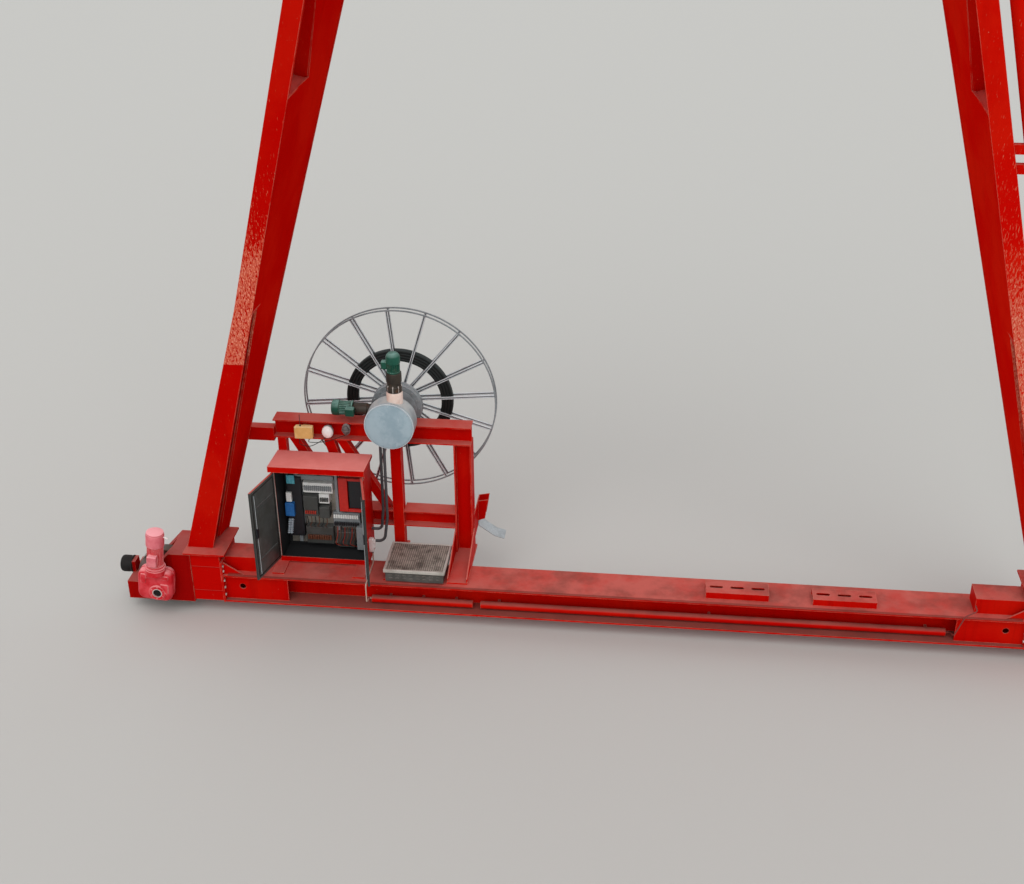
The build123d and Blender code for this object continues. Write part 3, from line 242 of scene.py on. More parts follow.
def scuffOver(paint, scuff):
    # The noise has to pass a level that falls towards the middle of the zone, so the speckle thins out at its ends
    spot = split(paint, paint.place)
    above = ranged(paint, spot["Z"], scuff["low"], scuff["low"] + scuff["lowBlur"])
    below = ranged(paint, spot["Z"], scuff["high"], scuff["high"] - scuff["highBlur"])
    inward = ranged(paint, split(paint, paint.normal)["Y"], -0.75, -0.9)
    face = times(paint, inward, calc(paint, "LESS_THAN", spot["Y"], railY))
    zone = times(paint, above, below)
    for perMetre, stretch, turn, level, fall, hexText in scuffLayers:
        start = scuff["level"] + level
        value = calc(paint, "ADD", noise(paint, perMetre, 3.0, 0.6, (1, 1, stretch), turn),
                     ranged(paint, zone, 0.0, 1.0, fall, 0.0))
        lay(paint, hexText, ranged(paint, value, start, start + 0.06), face, 0.85)


def enamel(name, **changes):
    look = {**enamelLook, **changes}
    paint = startFinish(name, look["body"], 0.42, specular=look["specular"])
    upward = upwardMask(paint, 0.3, 0.9)
    upright = calc(paint, "SUBTRACT", 1.0, upward, clamp=True)
    lay(paint, look["faded"], patches(paint, look["patchPerMetre"], 0.4, 0.62))
    lay(paint, look["deep"], patches(paint, 7.0, 0.52, 0.72, stretch=(1, 1, 0.06)), upright, look["runAmount"])
    # Upward faces turn pink: patchy dust over a floor of painted sheen that stands for the sky's reflection on the tops
    dust = ranged(paint, patches(paint, 2.6, 0.3, 0.62, 8.0), 0.0, 1.0, look["dustLeast"], 1.0)
    dust = times(paint, upward, dust)
    lay(paint, look["dust"], dust, look["dustAmount"])
    soil = patches(paint, 2.4, look["soilFrom"], look["soilFrom"] + 0.28, 9.0)
    lay(paint, look["soil"], soil, upward, look["soilAmount"])
    if look["lowSoil"]:
        lay(paint, look["soil"], ranged(paint, split(paint, paint.place)["Z"], 0.36, 0.22), upward, look["lowSoil"])
    edge = edgeMask(paint, look["edgeMm"] / 1000, 0.995, 0.9)
    lay(paint, look["chip"], edge, patches(paint, 6.0, 0.3, 0.6), look["edgeAmount"])
    chips = patches(paint, look["specklePerMetre"], 0.69, 0.72, 6.0)
    lay(paint, look["chip"], chips, patches(paint, 1.1, 0.5, 0.66), look["chipAmount"])
    if look["scuff"]:
        scuffOver(paint, look["scuff"])
    if look["lining"]:
        colour, low, high, amount = look["lining"]
        lay(paint, colour, insideMask(paint, low, high), amount)
    if look["facing"]:
        colour, ways = look["facing"]
        lay(paint, colour, facingMask(paint, ways))
    return finished(paint, dust, 0.4, 0.8, look["grain"], look["waves"])


# Hot-dip galvanised steel: a crystal pattern of greys, dull and a little blue, white rust in patches
def galvanised(name, body, light, deep, roughness=(0.42, 0.62), metallic=0.55):
    steel = startFinish(name, body, 0.5, metallic)
    spangle = addNode(steel.tree, "TexVoronoi", {"Scale": 90.0}, {"Vector": steel.place})  # crystals of 11 mm
    lay(steel, light, ranged(steel, spangle.outputs["Color"], 0.1, 0.9), 0.45)
    stains = patches(steel, 3.0, 0.48, 0.7, 8.0)
    lay(steel, deep, stains, 0.55)
    return finished(steel, stains, *roughness, (300.0, 0.0002))


# Moulded rubber and cable jackets: matt black, greyer in patches on upward faces from dust and painted sheen
def blackRubber(name, body, dust, roughness=0.7, paintedRight=None):
    rubber = startFinish(name, body, roughness, specular=0.35)
    lying = times(rubber, upwardMask(rubber, 0.1, 1.0, smooth=False), patches(rubber, 8.0, 0.3, 0.7))
    lay(rubber, dust, lying, 0.7)
    if paintedRight:
        lay(rubber, paintedRight, calc(rubber, "GREATER_THAN", split(rubber, rubber.place)["X"], 0.0), 0.92)
    return finished(rubber, lying, roughness, 0.9, (180.0, 0.0006))


# Factory machine paint on cast iron and sheet: semi-gloss, dust and painted sheen on top, dirt in runs, chips at the
# edges
def machinePaint(name, body, faded, dust, chip="#9C8C7C", dustAmount=0.6, dirt="#2A2621", dirtAmount=0.5,
                 grain=(160.0, 0.0005), specular=0.35, edgeAmount=0.4):
    paint = startFinish(name, body, 0.35, specular=specular)
    lay(paint, faded, patches(paint, 5.0, 0.4, 0.65, 6.0))
    lay(paint, dirt, patches(paint, 11.0, 0.55, 0.72, 8.0, (1, 1, 0.35)), dirtAmount)
    lying = times(paint, upwardMask(paint, 0.25, 0.95), patches(paint, 9.0, 0.25, 0.6, 8.0))
    lay(paint, dust, lying, dustAmount)
    lay(paint, chip, edgeMask(paint, 0.005, 0.99, 0.88), patches(paint, 16.0, 0.4, 0.62), edgeAmount)
    return finished(paint, lying, 0.35, 0.7, grain)


# Injection-moulded polycarbonate and polyamide of switchgear: smooth, slightly satin, hardly any wear
def mouldedPlastic(name, body, faded, roughness=0.38):
    plastic = startFinish(name, body, roughness, specular=0.45)
    cloud = patches(plastic, 30.0, 0.35, 0.7)
    lay(plastic, faded, cloud, 0.7)
    return finished(plastic, cloud, roughness, roughness + 0.18, (400.0, 0.0001))


# Perforated steel sheet gone dull, with dirt between the holes
def perforated(name, body, holeShade, pitchMm, holeMm):
    # Round holes on a square grid, painted and not cut, their dark colour painted shade of the hollow behind: the
    # distance from the middle of each cell against the hole's radius
    sheet = startFinish(name, body, 0.6, 0.2)
    away = sheet.place
    for operation, settings in (("SCALE", {"Scale": 1000.0 / pitchMm}), ("FRACTION", {}),
                                ("SUBTRACT", {1: (0.5, 0.5, 0.5)}), ("MULTIPLY", {1: (1, 1, 0)})):
        away = addNode(sheet.tree, "VectorMath", {"operation": operation, **settings}, {0: away}).outputs[0]
    reach = addNode(sheet.tree, "VectorMath", {"operation": "LENGTH"}, {0: away}).outputs["Value"]
    edge = holeMm / pitchMm / 2
    shadedHoles = ranged(sheet, reach, edge + 0.03, edge - 0.03)
    lay(sheet, "#5C554C", patches(sheet, 9.0, 0.4, 0.7))
    lay(sheet, holeShade, shadedHoles)
    return finished(sheet, shadedHoles, 0.5, 0.9, (200.0, 0.0003))


# Bare rolled steel: polished where wheels or ropes run, brown elsewhere
def rolledSteel(name, body, worn, rust, roughness=(0.3, 0.6), metallic=0.7):
    steel = startFinish(name, body, 0.4, metallic)
    lay(steel, worn, patches(steel, 4.0, 0.35, 0.6, stretch=(1, 0.2, 1)))
    spots = patches(steel, 14.0, 0.55, 0.68, 9.0)
    lay(steel, rust, spots, 0.75)
    return finished(steel, spots, *roughness, (220.0, 0.0004))


finishes = {finish.name: finish for finish in (
    enamel("sillEnamel", soil="#74423A", soilAmount=0.6, soilFrom=0.42, lowSoil=0.75,
           lining=("#6A302A", (-4.4, 10.7, 0.5), (4.4, 10.795, 0.53), 0.6)),
    enamel("weldEnamel", body="#A60504", edgeAmount=0.0, chipAmount=0.0, dustAmount=0.3),
    enamel("legEnamelLeft", dustAmount=0.55, specular=0.0, runAmount=0.15,
           scuff={"low": 3.24, "lowBlur": 0.02, "high": 5.9, "highBlur": 1.5, "level": 0.46}),
    enamel("legEnamelRight", body="#CE0A03", faded="#D41808", dustAmount=0.55, specular=0.0, runAmount=0.12,
           scuff={"low": 2.0, "lowBlur": 1.0, "high": 6.5, "highBlur": 2.4, "level": 0.45}),
    enamel("legEnamel", dustAmount=0.55),
    # Wheel boxes: a darker copy of the enamel with heavier dark runs, painted shade of the motors over them
    enamel("shadedBoxEnamel", body="#960504", faded="#A20A05", deep="#5C0202", dust="#A8605A", runAmount=0.6),
    enamel("frameEnamel", patchPerMetre=1.6, chipAmount=0.6),
    # The roof is pale pink all over, painted sheen over its dust; the inside of the body is laid dark grey as painted
    # shade of the deep interior
    enamel("cabinetEnamel", dust="#F0928A", dustAmount=1.0, dustLeast=0.8, soilAmount=0.1, waves=(1.6, 0.003),
           patchPerMetre=1.4, lining=("#2C2D2E", (-3.842, 11.102, 0.548), (-2.848, 11.459, 1.727), 1.0)),
    enamel("cabinetDoorEnamel", waves=(1.6, 0.003), patchPerMetre=1.4, edgeAmount=0.2,
           facing=("#3C3D3B", ((-0.259, -0.966, 0), (0.259, -0.966, 0), (0.966, -0.259, 0), (-0.966, -0.259, 0)))),
    enamel("girderEnamel", soilAmount=0.5, patchPerMetre=0.5),
    enamel("gearEnamel", body="#C41420", faded="#D84048", dust="#F09A9C", dustAmount=0.9, deep="#7C0A12",
           soil="#8A4A44", patchPerMetre=6.0, edgeMm=6.0, chip="#F4BCB8", edgeAmount=0.7, waves=None,
           grain=(90.0, 0.0012), specular=0.25),
    enamel("motorCapEnamel", body="#D2606A", faded="#E07C82", dust="#F4A8AC", dustAmount=0.95, deep="#A03840",
           soil="#C08080", patchPerMetre=5.0, edgeMm=4.0, chip="#F8CCCC", waves=None, specular=0.25),
    galvanised("galvanisedSteel", "#A2A8AA", "#C8CECF", "#6A7072", (0.35, 0.55), 0.35),
    galvanised("rimSteel", "#7E8486", "#B0B6B8", "#565C5E", (0.45, 0.65), 0.25),
    # Spoke channels: pale walls are painted highlight and the dark floor painted shade of the open channel
    galvanised("litChannelEdge", "#C6CCCE", "#E2E6E8", "#9AA0A2", (0.4, 0.6), 0.2),
    galvanised("shadedChannelFloor", "#4C5052", "#6A6E70", "#2E3032", (0.5, 0.7), 0.3),
    galvanised("galvanisedSheet", "#9A9488", "#C2BBB0", "#6A6258"),
    galvanised("paleSheet", "#B4B0A6", "#D4D0C8", "#8A8478", metallic=0.2),
    # Black disc in the drives' hollow-shaft bores: painted shade of their depth
    blackRubber("shadedBore", "#0A0707", "#1A1210", 0.8),
    blackRubber("rubber", "#0C0908", "#2A2421"),
    blackRubber("hoseRubber", "#45494B", "#9AA0A2", 0.45),
    blackRubber("paleLead", "#B79C8C", "#DCCBBE", 0.6, paintedRight="#7A1512"),
    blackRubber("cableJacket", "#0E1413", "#3C4442", 0.55),
    machinePaint("motorGreen", "#0E4636", "#1C5C4A", "#7CA398", dustAmount=0.9, specular=0.25),
    machinePaint("gearboxGrey", "#7A8183", "#8C9395", "#AEB6B8"),
    machinePaint("drumEnamel", "#8FA4AE", "#A2B5BD", "#B4B6B0", "#D0DADF", dirt="#C4D2D8", dirtAmount=0.6,
                 grain=(90.0, 0.0004), specular=0.3),
    machinePaint("drumSide", "#8E979A", "#A6ADAE", "#C4C4BE", "#E4E4E0", dirt="#C2A498", dirtAmount=0.4,
                 grain=(90.0, 0.0004), specular=0.3),
    machinePaint("drumRim", "#B4C2C8", "#C6D0D4", "#D0D4D2", "#E6ECEE", dirt="#8E9CA2", dirtAmount=0.4,
                 specular=0.3, edgeAmount=0.8),
    machinePaint("primerAdaptor", "#E2C6B6", "#F0DED2", "#F2E6DE", dirt="#B4745A"),
    machinePaint("charcoalSheet", "#424340", "#4C4E4C", "#6A6B68", "#8A8A86", dirt="#6C6C68", dirtAmount=0.3,
                 grain=(120.0, 0.0003), specular=0.3, edgeAmount=0.3),
    machinePaint("beigePaint", "#DCAE66", "#E8C07C", "#F2D8A4", dirt="#8A6434", dirtAmount=0.6),
    machinePaint("lampGrey", "#6A6260", "#827A78", "#A09A96", specular=0.5),
    machinePaint("yellowPaint", "#D8A21C", "#E2B440", "#D8C48C"),
    machinePaint("resistorSheet", "#4A4844", "#5A5854", "#8A867E", dirtAmount=0.3, specular=0.3),
    rolledSteel("couplingSteel", "#241F19", "#3C352B", "#5A3A24", (0.5, 0.75), 0.3),
    rolledSteel("wheelSteel", "#4A3A30", "#8A8682", "#6A3A22"),
    rolledSteel("railSteel", "#54453A", "#A09C98", "#6E452C"),
    rolledSteel("ropeSteel", "#3A3834", "#6E6C68", "#4A3A2C", (0.4, 0.6), 0.6),
    rolledSteel("boltSteel", "#A8A09A", "#D8D2CC", "#8C6A50", (0.35, 0.6), 0.35),
    # Hole colours are painted shade of the space under the sheets
    perforated("gratingSteel", "#9A9E9F", "#2A2B2B", 34.0, 27.0),
    perforated("perforatedSheet", "#A49C90", "#2E2A26", 24.0, 14.0),
    mouldedPlastic("lampGlass", "#F4EEEA", "#E2D8D0", 0.2),
    mouldedPlastic("lampSmoked", "#5C5250", "#6E6462", 0.2),
    mouldedPlastic("glazedRings", "#8E98A0", "#B4BEC6", 0.2),
    mouldedPlastic("palePlastic", "#EEEEEA", "#DADAD4"),
    mouldedPlastic("greyPlastic", "#8C9092", "#7C8082"),
    mouldedPlastic("blackPlastic", "#15161A", "#202228"),
    mouldedPlastic("bluePlastic", "#1E63A8", "#2A78C0"),
    mouldedPlastic("tealDisplay", "#4FA6B8", "#68BCC8", 0.15),
    mouldedPlastic("redSwitchgear", "#C81A10", "#D62C1C"),
    mouldedPlastic("redWire", "#A02818", "#B83A26"),
    mouldedPlastic("brownWire", "#5A3220", "#6C4028"))}
print("finishes mixed:", len(finishes))


nodeFinish = {
    "sillEnamel": "reel_side_sill_beam free_side_sill_beam leg_pedestals sill_stop_blocks slotted_brackets "
                  "conduit_pipes",
    "shadedBoxEnamel": "wheel_boxes",
    "legEnamelLeft": "reel_side_left_leg",
    "legEnamelRight": "reel_side_right_leg leg_side_pipe",
    "legEnamel": "free_side_legs leg_head_beams saddle_plates",
    "frameEnamel": "reel_frame_top_beam reel_frame_posts reel_frame_lower_beams reel_frame_feet reel_frame_braces "
                   "reel_frame_leg_tie reel_saddle cable_guide",
    "cabinetEnamel": "cabinet_body cabinet_roof",
    "cabinetDoorEnamel": "cabinet_left_door cabinet_right_door",
    "girderEnamel": "girders girder_end_ties trolley_end_carriages trolley_cross_beams",
    "gearEnamel": "travel_gear_housings travel_motors",
    "galvanisedSteel": "reel_front_flange reel_rear_flange cable_chute",
    "gratingSteel": "girder_walkway",
    "galvanisedSheet": "brake_resistor_box cabinet_mounting_plate",
    "rubber": "rubber_buffers",
    "cableJacket": "reel_cable_pack",
    "hoseRubber": "slip_ring_hoses",
    "paleLead": "conduit_leads",
    "gearboxGrey": "reel_gearbox reel_hub hoist_winch",
    "drumEnamel": "reel_slip_ring_housing",
    "motorGreen": "reel_top_motor reel_side_motor",
    "beigePaint": "beam_junction_box",
    "lampGlass": "beam_lamps",
    "yellowPaint": "walkway_handrail hook_block",
    "wheelSteel": "travel_wheels trolley_wheels",
    "railSteel": "trolley_rails",
    "ropeSteel": "hoist_ropes",
    "greyPlastic": "cabinet_components",
}
for finish, names in nodeFinish.items():
    for name in names.split():
        mesh = cadNodes[name].data
        mesh.materials.clear()
        mesh.materials.append(finishes[finish])
print("frame dressed")


def gridFaces(rows, columns, closeRows=False, closeColumns=False, start=0):
    # Quads between neighbours of a rows by columns grid, joined end to start where closed
    i = np.arange(rows if closeRows else rows - 1)[:, None]
    j = np.arange(columns if closeColumns else columns - 1)[None, :]
    up, across = (i + 1) % rows, (j + 1) % columns
    corners = np.stack([i * columns + j, i * columns + across, up * columns + across, up * columns + j], -1)
    return (corners.reshape(-1, 4) + start).tolist()


def capped(rows, columns):
    # The grid closed round, with a cap on either end
    last = (rows - 1) * columns
    ends = [list(range(columns))[::-1], list(range(last, last + columns))]
    return gridFaces(rows, columns, closeColumns=True) + ends


def turned(profile, segments, centre, axis=skyward, ripple=None):
    # A profile of (radius, height) carried round an axis: p = c + h*a + r*(cos t*u + sin t*v).
    # ripple(radius, t) changes the radius, for ribs and hexagons
    axis = Vector(axis).normalized()
    u = Vector(skyward if abs(axis.z) < 0.9 else alongSill)
    u = (u - axis * u.dot(axis)).normalized()
    u, v, axis = np.array(u), np.array(axis.cross(u)), np.array(axis)
    profile = np.array(profile, float)
    t = np.linspace(0, 2 * math.pi, segments, endpoint=False)
    radius = np.repeat(profile[:, :1], segments, 1)
    if ripple:
        radius = ripple(radius, t)
    around = np.cos(t)[:, None] * u + np.sin(t)[:, None] * v
    points = np.array(centre) + profile[:, 1][:, None, None] * axis + radius[:, :, None] * around[None]
    return points.reshape(-1, 3), capped(len(profile), segments)


def ringTurned(profile, segments, centre, axis=skyward):
    # The same with a closed profile, which leaves a hole in the middle
    points = turned(profile, segments, centre, axis)[0]
    return points, gridFaces(len(profile), segments, closeRows=True, closeColumns=True)


def chamferBox(x0, x1, y0, y1, z0, z1, chamfer=0.004):
    # Each corner gives three points, one on each of its faces, pulled in by the chamfer along the others
    low, high = np.array((x0, y0, z0)), np.array((x1, y1, z1))
    half = (high - low) / 2
    signs = np.array(list(product((-1, 1), repeat=3)))
    pulled = signs[:, None] * (half - min(chamfer, 0.9 * half.min()) * (1 - np.eye(3)))
    points = ((high + low) / 2 + pulled).reshape(-1, 3)
    stride, faces = (12, 6, 3), []
    for axis, b, c in ((0, 1, 2), (1, 0, 2), (2, 0, 1)):
        for s in (0, 1):
            faces.append([s * stride[axis] + sb * stride[b] + sc * stride[c] + axis
                          for sb, sc in ((0, 0), (1, 0), (1, 1), (0, 1))])
        for sb, sc in product((0, 1), repeat=2):
            i = sb * stride[b] + sc * stride[c]
            j = i + stride[axis]
            faces.append([i + b, j + b, j + c, i + c])
    return points, faces + [[3 * k, 3 * k + 1, 3 * k + 2] for k in range(8)]


def lofted(rings):
    # Rings of equal count joined to a closed shell, its ends capped
    rings = np.array(rings, float)
    return rings.reshape(-1, 3), capped(*rings.shape[:2])


def stacked(layers, origin, across, upward):
    # Outlines (a, b) at given heights h over a plane: p = o + a*across + b*upward + h*along
    across, upward = np.array(across, float), np.array(upward, float)
    along = np.cross(across, upward)
    return lofted([np.array(origin) + np.array(line)[:, :1] * across + np.array(line)[:, 1:] * upward + height * along
                   for line, height in layers])


def roundedOutline(width, height, radius, inset=0.0, steps=6):
    # Corners are quarter circles, the inset shrinks the whole outline
    r = max(radius - inset, 0.001)
    a, b = width / 2 - inset - r, height / 2 - inset - r
    corners = ((1, 1), (-1, 1), (-1, -1), (1, -1))
    return [(sx * a + r * math.cos(t + k * math.pi / 2), sy * b + r * math.sin(t + k * math.pi / 2))
            for k, (sx, sy) in enumerate(corners) for t in np.linspace(0, math.pi / 2, steps)]


def roundedSlab(width, height, radius, table, origin, across, upward, steps=6):
    # The table gives the inset and the height of each outline
    layers = [(roundedOutline(width, height, radius, inset, steps), level) for inset, level in table]
    return stacked(layers, origin, across, upward)


def made(finish, *shells):
    return [(finish, shell) for shell in shells]


def boxes(finish, *rows):
    # Rows of x0, x1, y0, y1, z0, z1 and a chamfer
    return made(finish, *(chamferBox(*row) for row in rows))


def smoothPath(points, steps):
    # Catmull-Rom curve through the points, so many steps a run
    p = np.array(points, float)
    p = np.concatenate([2 * p[:1] - p[1:2], p, 2 * p[-1:] - p[-2:-1]])
    t = np.linspace(0, 1, steps, endpoint=False)[:, None]
    runs = []
    for a, b, c, d in zip(p, p[1:], p[2:], p[3:]):
        square, cube = 2 * a - 5 * b + 4 * c - d, 3 * b - a - 3 * c + d
        runs.append(0.5 * (2 * b + (c - a) * t + square * t ** 2 + cube * t ** 3))
    return np.concatenate([*runs, p[-2:-1]])


def tubeAlong(path, radius, sides=8, ripple=None):
    # A round profile carried along a path; its frame leans as little as it can from one fixed side
    path = np.array(path, float)
    tangent = np.gradient(path, axis=0)
    tangent /= np.linalg.norm(tangent, axis=1)[:, None]
    spare = np.eye(3)[np.abs(tangent).mean(0).argmin()]
    u = np.cross(tangent, spare)
    u /= np.linalg.norm(u, axis=1)[:, None]
    v = np.cross(tangent, u)
    t = np.linspace(0, 2 * math.pi, sides, endpoint=False)
    size = np.full((len(path), sides), radius, float)
    if ripple is not None:
        size = size * ripple(len(path), t)
    around = np.cos(t)[None, :, None] * u[:, None] + np.sin(t)[None, :, None] * v[:, None]
    points = path[:, None] + size[:, :, None] * around
    return points.reshape(-1, 3), capped(len(path), sides)


def hexBolt(place, axis, flats=0.036, head=0.015, washer=0.003):
    # A hexagon is the radius flats/2 over the cosine of the angle from the nearest flat
    corner = flats / 2 / math.cos(math.pi / 6)
    rows = ((1.15 * corner, 0.0), (1.15 * corner, washer), (corner, washer), (corner, head * 0.85),
            (0.85 * corner, head))

    def hexed(radius, t):
        away = (t + math.pi / 6) % (math.pi / 3) - math.pi / 6
        shape = math.cos(math.pi / 6) / np.cos(away)
        out = radius.copy()
        out[2:4] *= shape
        return out
    return turned(rows, 12, place, axis, hexed)


def boltCircle(centre, radius, count, plane, axis, size, start=0.0):
    # Bolts evenly round a centre: p = c + r*(cos t*u + sin t*v), with u and v in their plane
    u, v = np.array(plane)
    turns = start + 2 * math.pi * np.arange(count) / count
    return [hexBolt(np.array(centre) + radius * (math.cos(t) * u + math.sin(t) * v), axis, *size) for t in turns]


def addPiece(name, parts, body="crane", smooth=32.0):
    # A part is a finish's name and a closed shell of points and faces
    mesh = bpy.data.meshes.new(name)
    points, faces, marks, used, start = [], [], [], [], 0
    for finish, (shape, shapeFaces) in parts:
        if finish not in used:
            used.append(finish)
        points.append(np.asarray(shape))
        faces += [[start + i for i in face] for face in shapeFaces]
        marks += [used.index(finish)] * len(shapeFaces)
        start += len(shape)
    mesh.from_pydata(np.concatenate(points).tolist(), [], faces)
    for finish in used:
        mesh.materials.append(finishes[finish])
    mesh.polygons.foreach_set("material_index", marks)
    shell = bmesh.new()
    shell.from_mesh(mesh)
    bmesh.ops.recalc_face_normals(shell, faces=shell.faces)
    shell.to_mesh(mesh)
    shell.free()
    mesh.polygons.foreach_set("use_smooth", [True] * len(mesh.polygons))
    mesh.set_sharp_from_angle(angle=math.radians(smooth))
    piece = bpy.data.objects.new(name, mesh)
    scene.collection.objects.link(piece)
    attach(piece, body)
    return piece


def legEdge(z, way):
    # The front edge (-1) or the back one (1), straight from foot to top
    share = (z - leg["footZ"]) / (leg["topZ"] - leg["footZ"])
    foot = leg["centre"] + way * leg["footDepth"] / 2
    return foot + share * (way * leg["topDepth"] / 2 - foot)


# Side plates of the legs: they run from the narrow front flange out to the edge of the wide back one.
# Levels are (height, distance behind the front face where the plate starts), for the slot and the pocket
legSkin = {"front": 0.0805, "back": 0.138, "inner": 0.077, "flange": 0.021, "step": 0.3,
           "levels": ((0.832, 0.226), (3.836, 0.226), (3.852, 0.024), (6.118, 0.024), (6.1345, 0.744), (8.6, 0.03),
                      (11.39, 0.024))}


def legSkinPlate(side, end, look):
    # Each level is a wedge: its inner edge on the CAD plate, its outer one along the line to the back flange
    rings = []
    levels = look["levels"]
    for (z0, near0), (z1, near1) in zip(levels, levels[1:]):
        count = max(1, round((z1 - z0) / look["step"]))
        rings += [(z0 + k * (z1 - z0) / count, near0 + k * (near1 - near0) / count) for k in range(count)]
    layers = []
    for z, near in (*rings, levels[-1]):
        front, back = legEdge(z, -1), legEdge(z, 1)
        line = leg["footX"] - leg["lean"] * (z - leg["footZ"])
        y0, y1 = front + near, back - look["flange"]
        outer = [look["front"] + (look["back"] - look["front"]) * (y - front) / (back - front) for y in (y0, y1)]
        corners = ((y0, outer[0]), (y1, outer[1]), (y1, look["inner"]), (y0, look["inner"]))
        layers.append([(side * (line - reach), end * (railY + y), z) for y, reach in corners])
    return lofted(layers)


for side, name, finish in ((-1, "left", "legEnamelLeft"), (1, "right", "legEnamelRight")):
    addPiece(name + "_leg_side_plate", made(finish, legSkinPlate(side, 1, legSkin)))
    addPiece(name + "_free_leg_side_plate", made("legEnamel", legSkinPlate(side, -1, legSkin)))


# Bolts that hold the sill to the pedestals, and the plates of the bogies' ends
boltPattern = {"rows": (0.24, 0.338, 0.428, 0.555, 0.62), "columns": (-0.222, -0.1, 0.1, 0.222), "flats": 0.027,
               "head": 0.011, "endRows": (0.18, 0.33), "endColumns": (-0.21, 0.21), "endFlats": 0.03}


def jointBolts(look):
    for end, side in product((1, -1), (-1, 1)):
        for z, y in product(look["rows"], look["columns"]):
            yield "boltSteel", hexBolt((side * sillEndX, end * railY + y, z), (-side, 0, 0), look["flats"],
                                       look["head"])
        for z, y in product(look["endRows"], look["endColumns"]):
            yield "boltSteel", hexBolt((side * bogieEndX, end * railY + y, z), (side, 0, 0), look["endFlats"])


addPiece("joint_bolts", jointBolts(boltPattern))


# The cable lies on the reel in even turns, so the wound pack is a ring with a scalloped outline
cableWinding = {"outer": 0.612, "inner": 0.45, "width": 0.066, "turnMm": 33.0, "segments": 160, "roundSteps": 7,
                "bulge": 0.55, "sink": 0.004}


def cableTurns(look):
    # Turns stand side by side: each layer is half a circle of the cable's size, and the ring is carried round
    turn = look["turnMm"] / 1000
    layers = int((look["outer"] - look["inner"]) / turn)
    arc = np.linspace(0, math.pi, look["roundSteps"])
    front, rows = -look["width"] / 2, []
    for k in range(layers):
        middle = look["outer"] - turn * (k + 0.5)
        rows += [(middle + turn / 2 * math.cos(a), front - turn / 2 * look["bulge"] * math.sin(a) + look["sink"])
                 for a in arc]
    back = [(r, -h) for r, h in reversed(rows)]
    return ringTurned(rows + back, look["segments"], (reel["x"], reel["y"], reel["z"]), outward)


pack = addPiece("cable_turns", made("cableJacket", cableTurns(cableWinding)), "cable_reel", 60.0)
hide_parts("reel_cable_pack")


# Motors are stacks of turned steps, with cooling ribs on the stator.
# Each step is a finish, its segments, the rows that carry ribs or None, and a profile
topMotor = {
    "x": -2.483, "y": 11.375, "ribs": 22, "ribDepth": 0.011, "pins": 8, "pinCircle": 0.081,
    "steps": (
        ("primerAdaptor", 48, None, ((0.088, 2.5), (0.09, 2.52), (0.09, 2.63), (0.083, 2.645))),
        ("couplingSteel", 48, None, ((0.08, 2.645), (0.086, 2.65), (0.086, 2.71), (0.078, 2.718), (0.078, 2.76),
                                     (0.086, 2.768), (0.086, 2.868), (0.08, 2.875))),
        ("motorGreen", 132, (3, 6), ((0.066, 2.87), (0.073, 2.876), (0.073, 2.886), (0.073, 2.89), (0.073, 2.975),
                                     (0.073, 2.98), (0.069, 2.986))),
        ("motorGreen", 48, None, ((0.075, 2.982), (0.079, 2.988), (0.079, 3.058), (0.072, 3.074), (0.061, 3.09),
                                  (0.05, 3.1), (0.02, 3.101)))),
}
sideMotor = {
    "x": -2.611, "y": 11.57, "z": 2.31, "ribs": 22, "ribDepth": 0.01,
    "steps": (
        ("couplingSteel", 48, None, ((0.06, -0.01), (0.065, 0.004), (0.065, 0.13), (0.058, 0.14), (0.058, 0.22),
                                     (0.065, 0.23), (0.065, 0.38), (0.06, 0.39))),
        ("motorGreen", 48, None, ((0.078, 0.388), (0.085, 0.393), (0.085, 0.406), (0.078, 0.411))),
        ("motorGreen", 132, (2, 5), ((0.072, 0.41), (0.08, 0.416), (0.08, 0.42), (0.08, 0.535), (0.08, 0.54),
                                     (0.072, 0.546))),
        ("motorGreen", 48, None, ((0.08, 0.542), (0.088, 0.548), (0.088, 0.61), (0.082, 0.624), (0.07, 0.631),
                                  (0.03, 0.633)))),
}


def ribbed(look, rows):
    # Ribs are a rounded square wave of the angle on the stated rows
    def ripple(radius, t):
        wave = np.tanh(3.5 * np.cos(look["ribs"] * t))
        out = radius.copy()
        out[rows[0]:rows[1]] += look["ribDepth"] / 2 * (wave - 1)
        return out
    return ripple


def turnedSteps(look, base, axis):
    for finish, segments, ribs, profile in look["steps"]:
        yield finish, turned(profile, segments, base, axis, ribbed(look, ribs) if ribs else None)


def reelTopMotor(look):
    x, y = look["x"], look["y"]
    yield from turnedSteps(look, (x, y, 0), skyward)
    yield from boxes("motorGreen", (x - 0.13, x - 0.06, y - 0.04, y + 0.03, 2.915, 3.005, 0.008),
                     (x - 0.13, x - 0.124, y - 0.036, y + 0.026, 2.92, 3.0, 0.003))
    for t in np.arange(look["pins"]) * 2 * math.pi / look["pins"]:
        place = (x + look["pinCircle"] * math.cos(t), y + look["pinCircle"] * math.sin(t), 2.7)
        yield "boltSteel", turned(((0.006, -0.045), (0.006, 0.03)), 10, place)


motor = addPiece("reel_top_motor_dressed", reelTopMotor(topMotor))
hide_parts("reel_top_motor")


def reelSideMotor(look):
    x, y, z = look["x"], look["y"], look["z"]
    yield from turnedSteps(look, (x, y, z), (-1, 0, 0))
    yield from boxes("motorGreen", (x - 0.46, x - 0.36, y - 0.135, y - 0.06, z - 0.045, z + 0.05, 0.008))


motor = addPiece("reel_side_motor_dressed", reelSideMotor(sideMotor))
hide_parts("reel_side_motor")
print("reel dressed")


# Spoked flanges: a flat rim and channels that open towards the span, each held by one bolt
flangeLook = {"spokes": 16, "phase": 5.3, "spokeWidth": 0.03, "channel": 0.009, "start": 0.08, "rim": 0.016,
              "hub": 0.15, "bolts": 0.128, "segments": 200}


